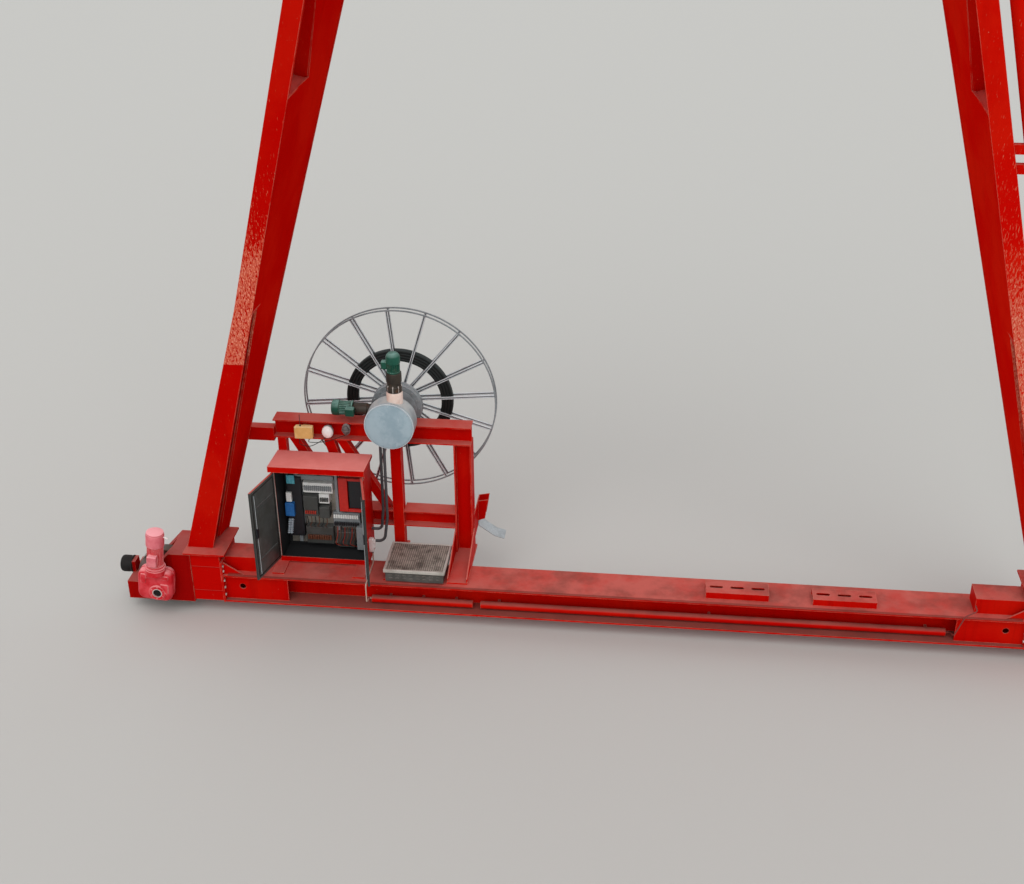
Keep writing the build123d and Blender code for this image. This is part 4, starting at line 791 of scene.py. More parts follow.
def spokedFlange(y, look):
    radius, half, wall, hub = reel["radius"], reel["spoke"] / 2, look["channel"], look["hub"]
    inner, reach = radius - look["rim"], (look["spokeWidth"] - wall) / 2
    centre = np.array((reel["x"], y, reel["z"]))
    rim = ((inner, -half), (radius - 0.003, -half), (radius, 0.003 - half), (radius, half - 0.003),
           (radius - 0.003, half), (inner, half))
    yield "rimSteel", ringTurned(rim, look["segments"], centre, outward)
    wallOutline = ((-wall / 2, -half), (wall / 2, -half), (wall / 2, half - 0.001), (wall / 2 - 0.001, half),
                   (0.001 - wall / 2, half), (-wall / 2, half - 0.001))
    floorOutline = ((-reach, -half), (reach, -half), (reach, 0.004 - half), (-reach, 0.004 - half))
    for t in math.radians(look["phase"]) + 2 * math.pi * np.arange(look["spokes"]) / look["spokes"]:
        out, sideways = np.array((math.cos(t), 0, math.sin(t))), np.array((-math.sin(t), 0, math.cos(t)))
        # Channel walls take the pale finish and the floor the dark one: painted highlight and painted shade
        for outline, offset, finish in ((wallOutline, reach, "litChannelEdge"), (floorOutline, 0.0, "shadedChannelFloor"),
                                        (wallOutline, -reach, "litChannelEdge")):
            layers = ((outline, look["start"]), (outline, inner + 0.006))
            yield finish, stacked(layers, centre + offset * sideways, -sideways, spanward)
        place = centre + look["bolts"] * out - (0, half, 0)
        yield "boltSteel", hexBolt(place, spanward, 0.019, 0.009, 0.002)
    plate = ((hub - 0.002, -half), (hub, 0.002 - half), (hub, half - 0.002), (hub - 0.002, half))
    yield "galvanisedSteel", turned(plate, 64, centre, outward)


for y, node in ((reel["y"] - reel["gap"] / 2, "reel_front_flange"), (reel["y"] + reel["gap"] / 2, "reel_rear_flange")):
    piece = addPiece(node + "_channels", spokedFlange(y, flangeLook), "cable_reel", 25.0)
    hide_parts(node)


# Slip-ring housing: a drum with a clamped lid, and the bevel gearbox disc behind the beam
drum = {"y": 11.24, "radius": 0.2775, "length": 0.225, "clamps": 6}


def slipRingDrum(look):
    r, centre = look["radius"], np.array((reel["x"], look["y"], reel["z"]))
    rows = [(r - 0.012, 0.0), (r - 0.004, 0.002), (r, 0.008), (r, 0.03), (r - 0.004, 0.034), (r - 0.004, 0.038),
            (r, 0.042), (r, 0.2), (r - 0.003, 0.203), (r - 0.003, 0.207), (r, 0.21), (r - 0.004, look["length"])]
    rim = ((r - 0.016, 0.0), (r - 0.013, 0.0), (r - 0.0035, 0.0015), (r, 0.0075), (r, 0.016), (r - 0.016, 0.016))
    clamps = boltCircle(centre + (0, 0.001, 0), r - 0.03, look["clamps"], (alongSill, skyward), spanward,
                        (0.011, 0.005, 0.0015), math.pi / look["clamps"])
    yield "drumEnamel", turned(rows[:5], 128, centre, outward)
    yield "drumSide", turned(rows[4:], 128, centre, outward)
    yield "drumRim", ringTurned(rim, 128, centre, outward)
    yield from made("drumEnamel", *clamps)


piece = addPiece("slip_ring_drum", slipRingDrum(drum))
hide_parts("reel_slip_ring_housing")


bevelBox = {"start": 11.465, "neck": 0.075, "disc": 0.29, "bolts": 16}


def bevelGearbox(look):
    centre, r, neck = np.array((reel["x"], look["start"], reel["z"])), look["disc"], look["neck"]
    rows = ((neck, 0.0), (neck, 0.2), (neck + 0.04, 0.215), (0.22, 0.221), (0.23, 0.226), (0.23, 0.236),
            (r - 0.02, 0.238), (r - 0.003, 0.24), (r, 0.246), (r, 0.268), (r - 0.008, 0.272), (r - 0.008, 0.3),
            (r, 0.304), (r, 0.338), (r - 0.006, 0.345))
    bolts = boltCircle(centre + (0, 0.238, 0), r - 0.03, look["bolts"], (alongSill, skyward), spanward,
                       (0.022, 0.012, 0.002))
    return made("gearboxGrey", turned(rows, 128, centre, outward), *bolts)


piece = addPiece("bevel_gearbox", bevelGearbox(bevelBox))
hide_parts("reel_gearbox")
print("flanges, drum and gearbox dressed")


# Lamps and junction box on the beam; a lamp is its middle, half its width and height, and its bracket's height
beamGear = {"boxX": -3.553, "boxZ": 2.05, "boxHalf": (0.105, 0.075), "lampWhite": (-3.287, 2.054, 0.065, 0.075, 0.06),
            "lampGrey": (-3.075, 2.09, 0.0475, 0.07, 0.05)}


def ovalTurned(rows, x, z, ratio):
    # A turned form towards the span, its height scaled to an oval
    points, faces = turned(rows, 40, (x, beamFace, z), spanward)
    points[:, 2] = z + (points[:, 2] - z) * ratio
    return points, faces


def beamLamps(look):
    for (x, z, wide, high, _), glass, lip, step, inset, rise in (
            (look["lampWhite"], "lampGlass", 0.02, 0.004, 0.0, 0.042),
            (look["lampGrey"], "lampSmoked", 0.022, 0.006, 0.008, 0.034)):
        ring = ((wide, 0.0), (wide, lip), (wide - step, lip + 0.006))
        dome = [((wide - inset) * math.cos(a), 0.028 + rise * math.sin(a)) for a in np.linspace(0.1, 1.45, 9)]
        yield "lampGrey", ovalTurned(ring, x, z, high / wide)
        yield glass, ovalTurned(dome, x, z, high / wide)
    # The grey lamp has a cage of two arcs
    x, z, wide, high, _ = look["lampGrey"]
    a = np.linspace(0.1, math.pi - 0.1, 13)[:, None]
    for way in ((wide, 0, 0), (0, 0, high)):
        cage = np.array((x, beamFace - 0.03, z)) + np.cos(a) * way + np.sin(a) * (0, -0.0385, 0)
        yield "lampGrey", tubeAlong(cage, 0.0028, 6)
    for x, z, _, _, tall in (look["lampWhite"], look["lampGrey"]):
        yield from boxes("lampGrey", (x - 0.025, x + 0.025, beamFace, beamWeb, z - tall / 2, z + tall / 2, 0.003))


piece = addPiece("bulkhead_lamps", beamLamps(beamGear), smooth=40.0)
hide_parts("beam_lamps")


def junctionBox(look):
    x, z = look["boxX"], look["boxZ"]
    wide, high = look["boxHalf"]
    yield from boxes("beigePaint", (x - wide + 0.004, x + wide - 0.004, 11.425, beamFace, z - high + 0.004,
                                    z + high - 0.004, 0.006),
                     (x - wide, x + wide, 11.405, 11.424, z - high, z + high, 0.006),
                     (x - 0.04, x + 0.04, beamFace, beamWeb, z - 0.03, z + 0.03, 0.004))
    for a, b in product((-1, 1), repeat=2):
        place = (x + a * (wide - 0.016), 11.406, z + b * (high - 0.014))
        yield "boltSteel", turned(((0.006, -0.002), (0.006, 0.002), (0.004, 0.003)), 12, place, spanward)
    gland = ((0.012, 0.0), (0.012, 0.012), (0.009, 0.014), (0.009, 0.024), (0.006, 0.028))
    for offset in (-0.06, -0.02, 0.05):
        yield "blackPlastic", turned(gland, 12, (x + offset, 11.45, z - high + 0.004), (0, 0, -1))
    mast = ((x - 0.04, 11.44, z + high - 0.004), (x - 0.04, 11.44, z + high + 0.14))
    yield from made("blackPlastic", turned(((0.009, 0), (0.009, 0.012), (0.005, 0.016)), 12, mast[0]),
                    tubeAlong(mast, 0.0035, 8))
    for sag, start, stop in ((0.10, -0.06, (-3.29, 11.47, 1.985)), (0.055, 0.05, (-3.075, 11.47, 2.02))):
        first, last = np.array((x + start, 11.45, z - high - 0.022)), np.array(stop)
        middle = (first + last) / 2 - (0.03, 0.01, sag)
        low = first + (0.004, 0, -sag * 0.7)
        yield "cableJacket", tubeAlong(smoothPath((first, low, middle, last), 8), 0.0042, 6)


piece = addPiece("beam_junction_box_dressed", junctionBox(beamGear))
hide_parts("beam_junction_box")
print("beam gear dressed")


# Control cabinet: linings on the doors, a rim seal, and the switchgear on its plate
cabinet = {"left": -3.86, "right": -2.83, "front": 11.10, "low": 0.53, "top": 1.745, "plate": 11.442,
           "hingeY": 11.066, "doorLow": 0.605, "doorTop": 1.725, "doorWidth": 0.511, "open": 105.0}


def doorLining(side, look):
    # Laid out along the door from its hinge, upwards, and off its inner face
    turn = math.radians(-90.0 - side * (look["open"] - 90.0))
    along = np.array((math.cos(turn), math.sin(turn), 0))
    inward = side * np.array((-math.sin(turn), math.cos(turn), 0))
    hinge = np.array((look["left"] if side > 0 else look["right"], look["hingeY"], 0)) + 0.026 * inward
    z = np.array(skyward)
    low, top, wide, skin = look["doorLow"], look["doorTop"], look["doorWidth"], 0.0018

    def slab(finish, a0, a1, z0, z1, depth, start=skin):
        middle = hinge + along * (a0 + a1) / 2 + z * (z0 + z1) / 2 + inward * start
        table = ((0.0, 0.0), (0.0, depth * 0.7), (min(0.0012, depth / 2), depth))
        wideHigh, axes = (a1 - a0, z1 - z0), (along, z)
        if side > 0:
            wideHigh, axes = wideHigh[::-1], axes[::-1]
        return finish, roundedSlab(*wideHigh, 0.004, table, middle, *axes)

    yield slab("charcoalSheet", 0.004, wide - 0.0005, low + 0.001, top - 0.001, skin, 0.0)
    for seal in ((0.03, 0.042, low + 0.03, top - 0.03), (wide - 0.03, wide - 0.018, low + 0.03, top - 0.03),
                 (0.042, wide - 0.03, low + 0.03, low + 0.042), (0.042, wide - 0.03, top - 0.042, top - 0.03)):
        yield slab("rubber", *seal, 0.0022)
    for z0 in (low + 0.2, top - 0.26):
        yield slab("charcoalSheet", 0.07, wide - 0.07, z0, z0 + 0.04, 0.01)
    rod = [hinge + along * (wide - 0.055) + z * height + inward * 0.012 for height in (low + 0.06, top - 0.06)]
    yield "galvanisedSteel", tubeAlong(rod, 0.005, 8)
    yield slab("blackPlastic", wide - 0.075, wide - 0.035, 1.13, 1.25, 0.018)


for side, node in ((1, "left_door"), (-1, "right_door")):
    addPiece(node + "_lining", doorLining(side, cabinet), node)


def cabinetRim(look):
    left, right, y, low, top = look["left"], look["right"], look["front"], look["low"], look["top"]
    seal, strip = (y - 0.002, y + 0.002), (y + 0.012, y + 0.03, low + 0.02, top - 0.03, 0.001)
    yield from boxes("paleSheet", (left + 0.006, left + 0.018, *seal, low + 0.07, top - 0.03, 0.001),
                     (right - 0.018, right - 0.006, *seal, low + 0.07, top - 0.03, 0.001),
                     (left + 0.018, right - 0.018, *seal, top - 0.026, top - 0.006, 0.001))
    yield from boxes("cabinetEnamel", (right + 0.001, right + 0.004, *strip), (left - 0.004, left - 0.001, *strip))


addPiece("cabinet_rim", cabinetRim(cabinet))


# Blocks are a finish, x0, x1, z0, z1 and how far each stands off the plate, breaker rows have their count too
switchgear = {
    "blocks": (
        ("blackPlastic", -3.79, -3.62, 0.72, 1.50, 0.09), ("bluePlastic", -3.815, -3.71, 1.01, 1.18, 0.14),
        ("palePlastic", -3.80, -3.735, 1.19, 1.31, 0.12), ("greyPlastic", -3.67, -3.25, 1.46, 1.52, 0.06),
        ("palePlastic", -3.60, -3.255, 1.31, 1.44, 0.09), ("greyPlastic", -3.67, -3.615, 0.87, 1.52, 0.05),
        ("charcoalSheet", -3.60, -3.43, 1.02, 1.28, 0.13), ("palePlastic", -3.42, -3.30, 1.18, 1.30, 0.10),
        ("charcoalSheet", -3.42, -3.30, 1.00, 1.14, 0.13), ("charcoalSheet", -3.60, -3.28, 0.64, 0.86, 0.10),
        ("redSwitchgear", -3.185, -3.08, 1.085, 1.525, 0.10), ("redSwitchgear", -3.08, -2.895, 1.49, 1.525, 0.10),
        ("redSwitchgear", -3.08, -2.895, 1.085, 1.12, 0.10), ("blackPlastic", -3.075, -2.915, 1.12, 1.49, 0.075),
        ("greyPlastic", -3.28, -2.966, 0.86, 1.045, 0.06), ("greyPlastic", -3.00, -2.905, 0.60, 0.90, 0.14),
        ("charcoalSheet", -3.24, -3.04, 0.60, 0.80, 0.09)),
    "breakers": (
        ("greyPlastic", -3.59, -3.265, 1.345, 1.405, 0.095, 14), ("palePlastic", -3.27, -2.975, 0.985, 1.03, 0.08, 11),
        ("blackPlastic", -3.27, -2.975, 0.885, 0.93, 0.08, 11), ("redWire", -3.585, -3.45, 1.06, 1.1, 0.14, 6),
        ("brownWire", -3.585, -3.30, 0.70, 0.76, 0.11, 10), ("charcoalSheet", -3.41, -3.31, 1.21, 1.26, 0.105, 4)),
    "ducts": ((-3.70, -3.66, 0.62, 1.6), (-3.24, -3.205, 0.62, 1.6), (-3.70, -2.92, 1.6, 1.64)),
}


def switchgearParts(look):
    y = cabinet["plate"]
    for finish, x0, x1, z0, z1, off in look["blocks"]:
        yield from boxes(finish, (x0, x1, y - off, y, z0, z1, 0.004))
    for finish, x0, x1, z0, z1, off, count in look["breakers"]:
        pitch = (x1 - x0) / count
        yield from boxes(finish, *((x0 + k * pitch + 0.003, x0 + (k + 1) * pitch - 0.003, y - off - 0.012,
                                    y - off + 0.01, z0, z1, 0.002) for k in range(count)))
    yield from boxes("greyPlastic", *((x0, x1, y - 0.05, y, z0, z1, 0.003) for x0, x1, z0, z1 in look["ducts"]))
    yield from boxes("tealDisplay", (-3.785, -3.69, y - 0.1, y - 0.085, 1.42, 1.53, 0.003))
    rings = [(0.02 - 0.008 * (j % 2), 0.03 * j / 2) for j in range(14)]
    yield from made("glazedRings", *(turned(rings, 16, (x, y - 0.09, 0.76), (0.15, 0, 1)) for x in (-3.81, -3.78)))
    for k in range(9):
        x = -3.23 + 0.028 * k
        path = ((x, y - 0.07, 0.86), (x + 0.01 * (k % 3), y - 0.11, 0.76), (x - 0.02, y - 0.12, 0.66),
                (x + 0.05, y - 0.07, 0.6))
        yield ("redWire", "brownWire", "blackPlastic")[k % 3], tubeAlong(smoothPath(path, 6), 0.004, 6)
    for k in range(6):
        x = -3.57 + 0.045 * k
        path = ((x, y - 0.1, 1.0), (x + 0.015, y - 0.15, 0.95), (x - 0.015, y - 0.14, 0.9), (x, y - 0.1, 0.86))
        yield ("blackPlastic", "brownWire")[k % 2], tubeAlong(smoothPath(path, 6), 0.0045, 6)


piece = addPiece("switchgear", switchgearParts(switchgear))
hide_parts("cabinet_components")


# Socket low on the cabinet's right side, where a lead ends
socket = {"x": cabinet["right"], "y": 11.165, "z": 0.67}


def wallSocket(look):
    x, y, z = look["x"], look["y"], look["z"]
    gland = ((0.014, 0), (0.014, 0.02), (0.01, 0.024))
    yield from boxes("palePlastic", (x, x + 0.05, y, y + 0.06, z, z + 0.17, 0.006),
                     (x + 0.048, x + 0.07, y + 0.006, y + 0.054, z + 0.05, z + 0.15, 0.005))
    yield "greyPlastic", turned(gland, 14, (x + 0.035, y + 0.03, z + 0.001), (0, 0, -1))


addPiece("wall_socket", wallSocket(socket))
print("cabinet dressed")


# Brake resistor: a dark tray under a perforated lid with a pale rim
resistor = {"x": (-2.58, -1.92), "y": (10.81, 11.37), "z": (0.53, 0.664), "lid": 0.018, "lidTop": 0.69, "rim": 0.024,
            "slots": 8}


def resistorBox(look):
    (x0, x1), (y0, y1), (z0, z1), m, top, rim = (look[key] for key in ("x", "y", "z", "lid", "lidTop", "rim"))
    yield from boxes("resistorSheet", (x0, x1, y0, y1, z0, z1 + 0.004, 0.004))
    inside = m - 0.004
    yield from boxes("perforatedSheet", (x0 - inside, x1 + inside, y0 - inside, y1 + inside, z1, top - 0.003, 0.003))
    height = (z1 - 0.012, top, 0.003)
    yield from boxes("paleSheet", (x0 - m, x1 + m, y0 - m, y0 - m + rim, *height),
                     (x0 - m, x1 + m, y1 + m - rim, y1 + m, *height),
                     (x0 - m, x0 - m + rim, y0 - m + rim, y1 + m - rim, *height),
                     (x1 + m - rim, x1 + m, y0 - m + rim, y1 + m - rim, *height))
    for x, low in product(np.linspace(x0 + 0.06, x1 - 0.06, look["slots"]), (z0 + 0.035, z0 + 0.075)):
        yield from boxes("resistorSheet", (x - 0.02, x + 0.02, y0 - 0.004, y0 + 0.004, low, low + 0.015, 0.002))


piece = addPiece("brake_resistor_dressed", resistorBox(resistor))
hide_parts("brake_resistor_box")


# Travel drives: cast housings that lean with their motors, on all four wheel axles
drive = {"tilt": 6.5, "axleX": 5.18, "axleZ": 0.345, "shift": (0.035, 0.085), "size": 0.4, "corner": 0.09,
         "depth": 0.15, "back": 0.272, "motorOut": 0.03, "motorDepth": 0.39, "ribs": 26, "ribDepth": 0.012,
         "flangeRing": ((0.048, -0.002), (0.048, 0.012), (0.052, 0.0145), (0.088, 0.0145), (0.095, 0.009),
                        (0.099, -0.002)),
         "liner": ((0.048, 0.004), (0.048, 0.0152), (0.056, 0.0152), (0.056, 0.004)),
         "pads": ((-0.115, 0.02, 0.09, 0.12, 0.012), (-0.03, 0.17, 0.26, 0.05, 0.014), (0.13, 0.13, 0.06, 0.12, 0.01)),
         "steps": (
             ("gearEnamel", 48, None, ((0.1, 0.235), (0.115, 0.25), (0.115, 0.318), (0.108, 0.322), (0.108, 0.328),
                                       (0.115, 0.332), (0.115, 0.345), (0.1, 0.35))),
             ("gearEnamel", 48, None, ((0.09, 0.35), (0.1, 0.352), (0.1, 0.372), (0.09, 0.376))),
             ("gearEnamel", 156, (2, 5), ((0.08, 0.374), (0.0925, 0.38), (0.0925, 0.385), (0.0925, 0.62),
                                          (0.0925, 0.625), (0.085, 0.636))),
             ("motorCapEnamel", 56, None, ((0.094, 0.628), (0.1025, 0.633), (0.1025, 0.772), (0.0985, 0.782))),
             ("motorCapEnamel", 56, None, ((0.092, 0.779), (0.092, 0.786), (0.098, 0.789), (0.096, 0.8), (0.08, 0.807),
                                           (0.03, 0.81))))}


def drivePoint(side, end, out, up, depth):
    lean = math.radians(drive["tilt"])
    return np.array((side * (drive["axleX"] + out * math.cos(lean) - up * math.sin(lean)), end * (railY - depth),
                     drive["axleZ"] + out * math.sin(lean) + up * math.cos(lean)))


def travelDrive(side, end, look):
    lean, even = math.radians(look["tilt"]), side == end
    out, up = (side * math.cos(lean), 0, math.sin(lean)), (-side * math.sin(lean), 0, math.cos(lean))
    across, upward = (out, up) if even else (up, out)
    forward, front = (0, -end, 0), look["back"] + look["depth"]
    shiftOut, shiftUp = look["shift"]

    def slab(finish, width, height, radius, place, table):
        size = (width, height) if even else (height, width)
        return finish, roundedSlab(*size, radius, table, drivePoint(side, end, *place), across, upward)

    yield slab("gearEnamel", look["size"], look["size"], look["corner"], (shiftOut, shiftUp, look["back"]),
               ((0.012, 0.0), (0.0, 0.012), (0.0, 0.05), (0.01, 0.055), (0.01, 0.068), (0.0, 0.073), (0.0, 0.12),
                (0.012, 0.14), (0.03, 0.15)))
    hub = drivePoint(side, end, 0, 0, front)
    yield "gearEnamel", ringTurned(look["flangeRing"], 48, hub, forward)
    yield "boltSteel", ringTurned(look["liner"], 40, hub, forward)
    # A black disc across the bore: painted shade of the hollow shaft
    yield "shadedBore", turned(((0.047, -0.002), (0.047, 0.002)), 32, hub, forward)
    yield from made("gearEnamel", *boltCircle(drivePoint(side, end, 0, 0, front + 0.0145), 0.075, 6, (out, up), forward,
                                              (0.014, 0.007, 0.001), math.pi / 6))
    for a, b, wide, high, deep in look["pads"]:
        yield slab("gearEnamel", wide, high, 0.012, (a + shiftOut, b + shiftUp - 0.04, front - 0.004),
                   ((0.0, 0.0), (0.0, deep), (0.004, deep + 0.004)))
    yield from turnedSteps(look, drivePoint(side, end, look["motorOut"], 0, look["motorDepth"]), up)
    yield slab("motorCapEnamel", 0.11, 0.13, 0.012, (look["motorOut"], 0.48, look["motorDepth"] + 0.07),
               ((0.004, 0.0), (0.004, 0.048), (0.0, 0.05), (0.0, 0.068), (0.006, 0.075)))
    lever = [drivePoint(side, end, look["motorOut"] + a, 0.755, look["motorDepth"] + b)
             for a, b in ((-0.06, 0.0), (-0.155, 0.03))]
    yield "lampGlass", tubeAlong(lever, 0.007, 8)
    boss = drivePoint(side, end, 0, 0, 0.26)
    yield "gearEnamel", turned(((0.08, 0.0), (0.08, 0.02)), 40, boss, forward)


drives = [part for side, end in product((-1, 1), repeat=2) for part in travelDrive(side, end, drive)]
piece = addPiece("travel_drives", drives)
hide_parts("travel_gear_housings", "travel_motors")


# Rubber buffers with a rounded nose and a moulded foot
bufferLook = {"z": 0.44, "radius": 0.1, "length": 0.14}


def bufferParts(look):
    r, n = look["radius"], look["length"]
    rows = ((r, 0.0), (r, 0.012), (r * 0.93, 0.018), (r * 0.93, 0.03), (r * 0.97, 0.04), (r * 0.98, n - 0.03),
            (r * 0.92, n - 0.01), (r * 0.8, n - 0.001), (r * 0.3, n))
    return made("rubber", *(turned(rows, 56, (side * bogieEndX, end * railY, look["z"]), (side, 0, 0))
                            for side, end in product((-1, 1), repeat=2)))


piece = addPiece("moulded_buffers", bufferParts(bufferLook))
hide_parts("rubber_buffers")
print("travel gear dressed")


# Hoist on the trolley: a grooved drum wound with rope, its gearbox and its motor
hoist = {"y": -6.5, "drumZ": 13.54, "frameZ": 13.20, "radius": 0.26, "half": 0.75, "pitch": 0.022, "wound": 0.5,
         "bare": 0.05, "plate": (0.75, 0.79), "frame": 0.59, "segments": 96, "ribs": 28, "ribDepth": 0.022,
         "steps": (
             ("motorGreen", 56, None, ((0.13, 0.0), (0.15, 0.006), (0.15, 0.03), (0.135, 0.04))),
             ("motorGreen", 168, (2, 5), ((0.12, 0.036), (0.14, 0.042), (0.14, 0.05), (0.14, 0.5), (0.14, 0.506),
                                          (0.13, 0.512))),
             ("motorGreen", 56, None, ((0.138, 0.508), (0.15, 0.514), (0.15, 0.66), (0.14, 0.69), (0.06, 0.7))))}


def hoistDrum(look):
    # Rope turns are half circles of the pitch, bare grooves the same ones with less height
    centre, r, end = (0, look["y"], look["drumZ"]), look["radius"], look["half"]
    wound, bare = look["wound"], look["bare"]
    yield "gearboxGrey", turned(((r - 0.012, -end), (r - 0.012, end)), look["segments"], centre, alongSill)
    for x0, x1, rise, finish in ((-wound, -bare, 0.011, "ropeSteel"), (bare, wound, 0.011, "ropeSteel"),
                                 (0.02 - end, -wound, 0.004, "gearboxGrey"), (-bare, bare, 0.004, "gearboxGrey"),
                                 (wound, end - 0.02, 0.004, "gearboxGrey")):
        count = max(1, round((x1 - x0) / look["pitch"]))
        step = (x1 - x0) / count
        rows = [(r - 0.011 + rise * math.sin(a), x0 + (k + 0.5) * step - step / 2 * math.cos(a))
                for k in range(count) for a in np.linspace(0, math.pi, 6)[:-1]]
        rows = [(r - 0.0135, x0), *rows, (r - 0.011, x1), (r - 0.0135, x1 + 0.0005)]
        yield finish, turned(rows, look["segments"], centre, alongSill)


def hoistFrame(look):
    y, z, frameZ, half = look["y"], look["drumZ"], look["frameZ"], look["frame"]
    inner, outer = look["plate"]
    bearing = ((0.13, 0.0), (0.13, 0.02), (0.09, 0.03), (0.09, 0.05))
    for side in (-1, 1):
        x0, x1 = sorted((side * inner, side * outer))
        yield from boxes("girderEnamel", (x0, x1, y - half, y + half, frameZ, z + 0.1, 0.004),
                         (x0 - 0.02, x1 + 0.02, y - half, y - half + 0.012, frameZ, z + 0.1, 0.003),
                         (x0 - 0.02, x1 + 0.02, y + half - 0.012, y + half, frameZ, z + 0.1, 0.003))
        yield "gearboxGrey", turned(bearing, 40, (side * inner, y, z), (-side, 0, 0))
        yield from made("boltSteel", *boltCircle((side * (inner - 0.02), y, z), 0.11, 8, (outward, skyward),
                                                 (-side, 0, 0), (0.024, 0.012, 0.002)))
    yield from boxes("gearboxGrey", (0.795, 1.05, y - 0.3, y + half, frameZ, z + 0.02, 0.012),
                     (0.805, 1.04, y - 0.29, y + half - 0.01, z + 0.03, z + 0.245, 0.03),
                     (0.79, 1.05, y - 0.3, y + half, z + 0.012, z + 0.04, 0.004))
    for k, x in product(range(9), (0.81, 1.03)):
        yield "boltSteel", hexBolt((x, y - 0.27 + k * 0.104, z + 0.04), skyward, 0.02, 0.01, 0.002)
    yield "gearboxGrey", turned(((0.05, 0), (0.05, 0.012), (0.03, 0.016)), 24, (0.92, y + 0.1, z + 0.244))
    base = (0.79, y + 0.42, frameZ + 0.3)
    yield from turnedSteps(look, base, (-1, 0, 0))
    yield from boxes("motorGreen", (0.42, 0.58, base[1] - 0.06, base[1] + 0.06, base[2] + 0.125, base[2] + 0.2, 0.01))


piece = addPiece("dressed_hoist", (*hoistDrum(hoist), *hoistFrame(hoist)))
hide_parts("hoist_winch")


# Hook block: rounded cheek plates over a grooved sheave, and a forged hook
hook = {"y": -6.5, "z": 8.7, "ring": 0.1475, "ringZ": 8.4, "sheaveZ": 9.06, "sheave": 0.26, "cheeks": (-0.102, 0.078)}


def forged(count, t):
    # Thin at the shank and the tip, thick where the load hangs
    along = np.linspace(0, 1, count)
    size = 0.75 + 0.42 * np.sin(np.clip(along * 1.15, 0, 1) * math.pi) - 0.42 * np.clip((along - 0.86) / 0.14, 0, 1)
    return size[:, None] * np.ones((1, len(t)))


def hookParts(look):
    y, z, sheaveZ, r, ring, ringZ = (look[key] for key in ("y", "z", "sheaveZ", "sheave", "ring", "ringZ"))
    cheek = ((0.004, 0.0), (0.0, 0.004), (0.0, 0.02), (0.004, 0.024))
    yield from made("yellowPaint", *(roundedSlab(0.6, 0.66, 0.2, cheek, (x, y, z + 0.33), outward, skyward, 10)
                                     for x in look["cheeks"]))
    rows = ((r - 0.04, -0.06), (r, -0.056), (r, -0.045), (r - 0.035, -0.012), (r - 0.035, 0.012), (r, 0.045),
            (r, 0.056), (r - 0.04, 0.06))
    yield from made("wheelSteel", turned(rows, 80, (0, y, sheaveZ), alongSill),
                    turned(((0.045, -0.12), (0.045, 0.12)), 32, (0, y, sheaveZ), alongSill))
    for side in (-1, 1):
        yield "wheelSteel", hexBolt((side * 0.103, y, sheaveZ), (side, 0, 0), 0.11, 0.016, 0.003)
        yield from made("boltSteel", *(hexBolt((side * 0.102, y + a, z + b), (side, 0, 0), 0.036, 0.014, 0.003)
                                       for b, a in product((0.05, 0.6), (-0.22, 0.22))))
    yield from boxes("wheelSteel", (-0.077, 0.077, y - 0.09, y + 0.09, z - 0.08, z + 0.088, 0.014))
    for level in (-0.075, -0.052):
        collar = ((0.06, level - 0.01), (0.07, level - 0.006), (0.07, level + 0.006), (0.06, level + 0.01))
        yield "wheelSteel", turned(collar, 32, (0, y, z - 0.01))
    turn = np.linspace(math.radians(92), math.radians(366), 64)
    bend = np.stack([0 * turn, y + ring * np.cos(turn), ringZ + ring * np.sin(turn)], 1)
    shank = [(0, y + 0.004, z - 0.07), (0, y + 0.001, z - 0.11)]
    latch = ((0, y + 0.05, ringZ + 0.1), (0, y + 0.1, ringZ + 0.06), (0, y + 0.13, ringZ + 0.02))
    yield "yellowPaint", tubeAlong(np.concatenate([shank, bend]), 0.043, 24, forged)
    yield "galvanisedSteel", tubeAlong(smoothPath(latch, 6), 0.009, 8)


piece = addPiece("dressed_hook_block", hookParts(hook), smooth=45.0)
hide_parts("hook_block")


# Six-strand wire rope: the radius swells six times round and the swelling turns along the length
rope = {"radius": 0.01, "strands": 6, "lay": 0.14, "step": 0.012, "top": 13.54, "bottom": 9.06,
        "falls": ((-0.03, -0.27), (0.03, -0.27), (-0.03, 0.27), (0.03, 0.27))}


def hoistRopes(look):
    count = int((look["top"] - look["bottom"]) / look["step"])
    heights = np.linspace(look["bottom"], look["top"], count)

    def strands(rows, t):
        phase = 2 * math.pi * (heights - look["bottom"])[:, None] / look["lay"]
        return 0.9 + 0.1 * np.abs(np.cos(look["strands"] / 2 * (t[None, :] - phase)))
    return made("ropeSteel", *(tubeAlong(np.stack([np.full(count, x), np.full(count, hoist["y"] + y), heights], 1),
                                         look["radius"], 18, strands) for x, y in look["falls"]))


piece = addPiece("laid_ropes", hoistRopes(rope), smooth=60.0)
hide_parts("hoist_ropes")
print("hoist and hook dressed")


# Weld beads of the girders' seams and webs, and of the pedestals
weld = {"girderX": 1.7363, "web": 0.231, "flange": 0.26, "bottom": 11.43, "top": 12.68, "plate": 0.022,
        "seams": (-10.2, -5.1, 0.0, 5.1, 10.2), "end": 12.2, "bead": 0.005, "pedestal": (4.46, 4.84),
        "boxX": 3.72, "boxZ": (0.175, 0.485)}


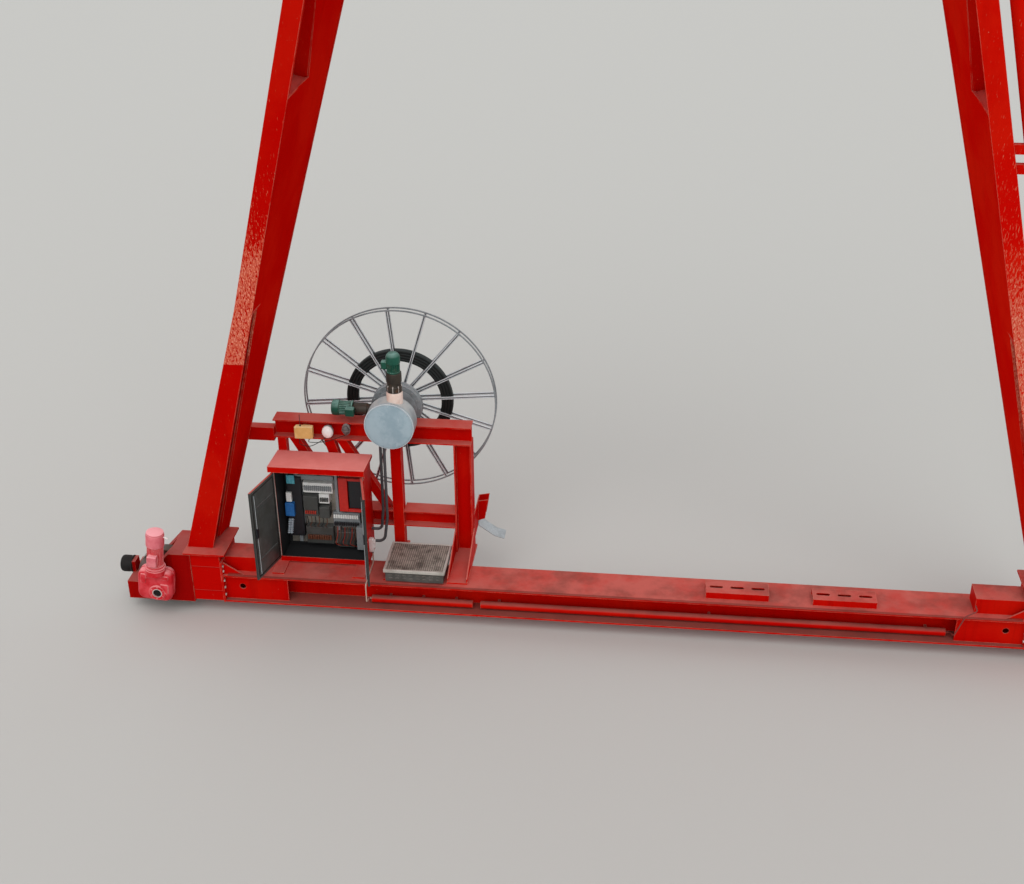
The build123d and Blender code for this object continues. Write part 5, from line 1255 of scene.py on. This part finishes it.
def weldBeads(look):
    paths = []
    web, bottom, low, high = look["web"], look["bottom"], look["bottom"] + look["plate"], look["top"] - look["plate"]
    for side in (-1, 1):
        x = side * look["girderX"]
        for y in look["seams"]:
            paths += [((x + s * web, y, low), (x + s * web, y, high)) for s in (-1, 1)]
            paths.append(((x - look["flange"], y, bottom), (x + look["flange"], y, bottom)))
        paths += [((x + s * web, -look["end"], z), (x + s * web, look["end"], z)) for s in (-1, 1) for z in (low, high)]
    for side, end in product((-1, 1), repeat=2):
        front, (x0, x1), (z0, z1) = end * (railY - 0.25), look["pedestal"], look["boxZ"]
        paths += [((side * x0, front, z), (side * x1, front, z)) for z in (0.30, 0.62)]
        paths += [((side * look["boxX"], y, z0), (side * look["boxX"], y, z1)) for y in
                  (end * railY - 0.18, end * railY + 0.18)]
    return made("weldEnamel", *(tubeAlong(path, look["bead"], 6) for path in paths))


addPiece("weld_beads", weldBeads(weld))


# Light and floor
studio = {"sky": 0.92, "sun": 1.3, "sunAngle": 60.0, "sunFrom": (0.0, -0.8, 0.9), "floor": "#BDBBB6",
          "floorHalf": 150.0, "floorLines": 31}


def makeStudio(look):
    world = bpy.data.worlds.new("overcastSky")
    scene.world = world
    world.use_nodes = True
    tree = world.node_tree
    light = tree.nodes["Background"]
    light.inputs["Color"].default_value = linearColour("#F2F5F8")
    light.inputs["Strength"].default_value = look["sky"]
    seen = addNode(tree, "Background", {"Color": linearColour("#EDEFF1"), "Strength": 1.0})
    rays = addNode(tree, "LightPath")
    mix = addNode(tree, "MixShader", links={0: rays.outputs["Is Camera Ray"], 1: light.outputs[0], 2: seen.outputs[0]})
    tree.links.new(mix.outputs[0], tree.nodes["World Output"].inputs["Surface"])
    lamp = bpy.data.objects.new("softSun", bpy.data.lights.new("softSun", "SUN"))
    lamp.data.energy = look["sun"]
    lamp.data.angle = math.radians(look["sunAngle"])
    lamp.rotation_mode = "QUATERNION"
    lamp.rotation_quaternion = Vector(look["sunFrom"]).to_track_quat("Z", "Y")
    scene.collection.objects.link(lamp)


makeStudio(studio)

lines = studio["floorLines"]
span = np.linspace(-studio["floorHalf"], studio["floorHalf"], lines)
floorPoints = np.stack([*np.meshgrid(span, span, indexing="ij"), np.zeros((lines, lines))], -1).reshape(-1, 3)
floorMesh = bpy.data.meshes.new("studioFloor")
floorMesh.from_pydata(floorPoints.tolist(), [], [face[::-1] for face in gridFaces(lines, lines)])
floor = bpy.data.objects.new("studioFloor", floorMesh)
scene.collection.objects.link(floor)
floorPaint = startFinish("paleConcrete", studio["floor"], 0.85, specular=0.2)
floorPaint.inputs["Base Color"].default_value = floorPaint.colour
floorMesh.materials.append(floorPaint.material)
print("studio lit")
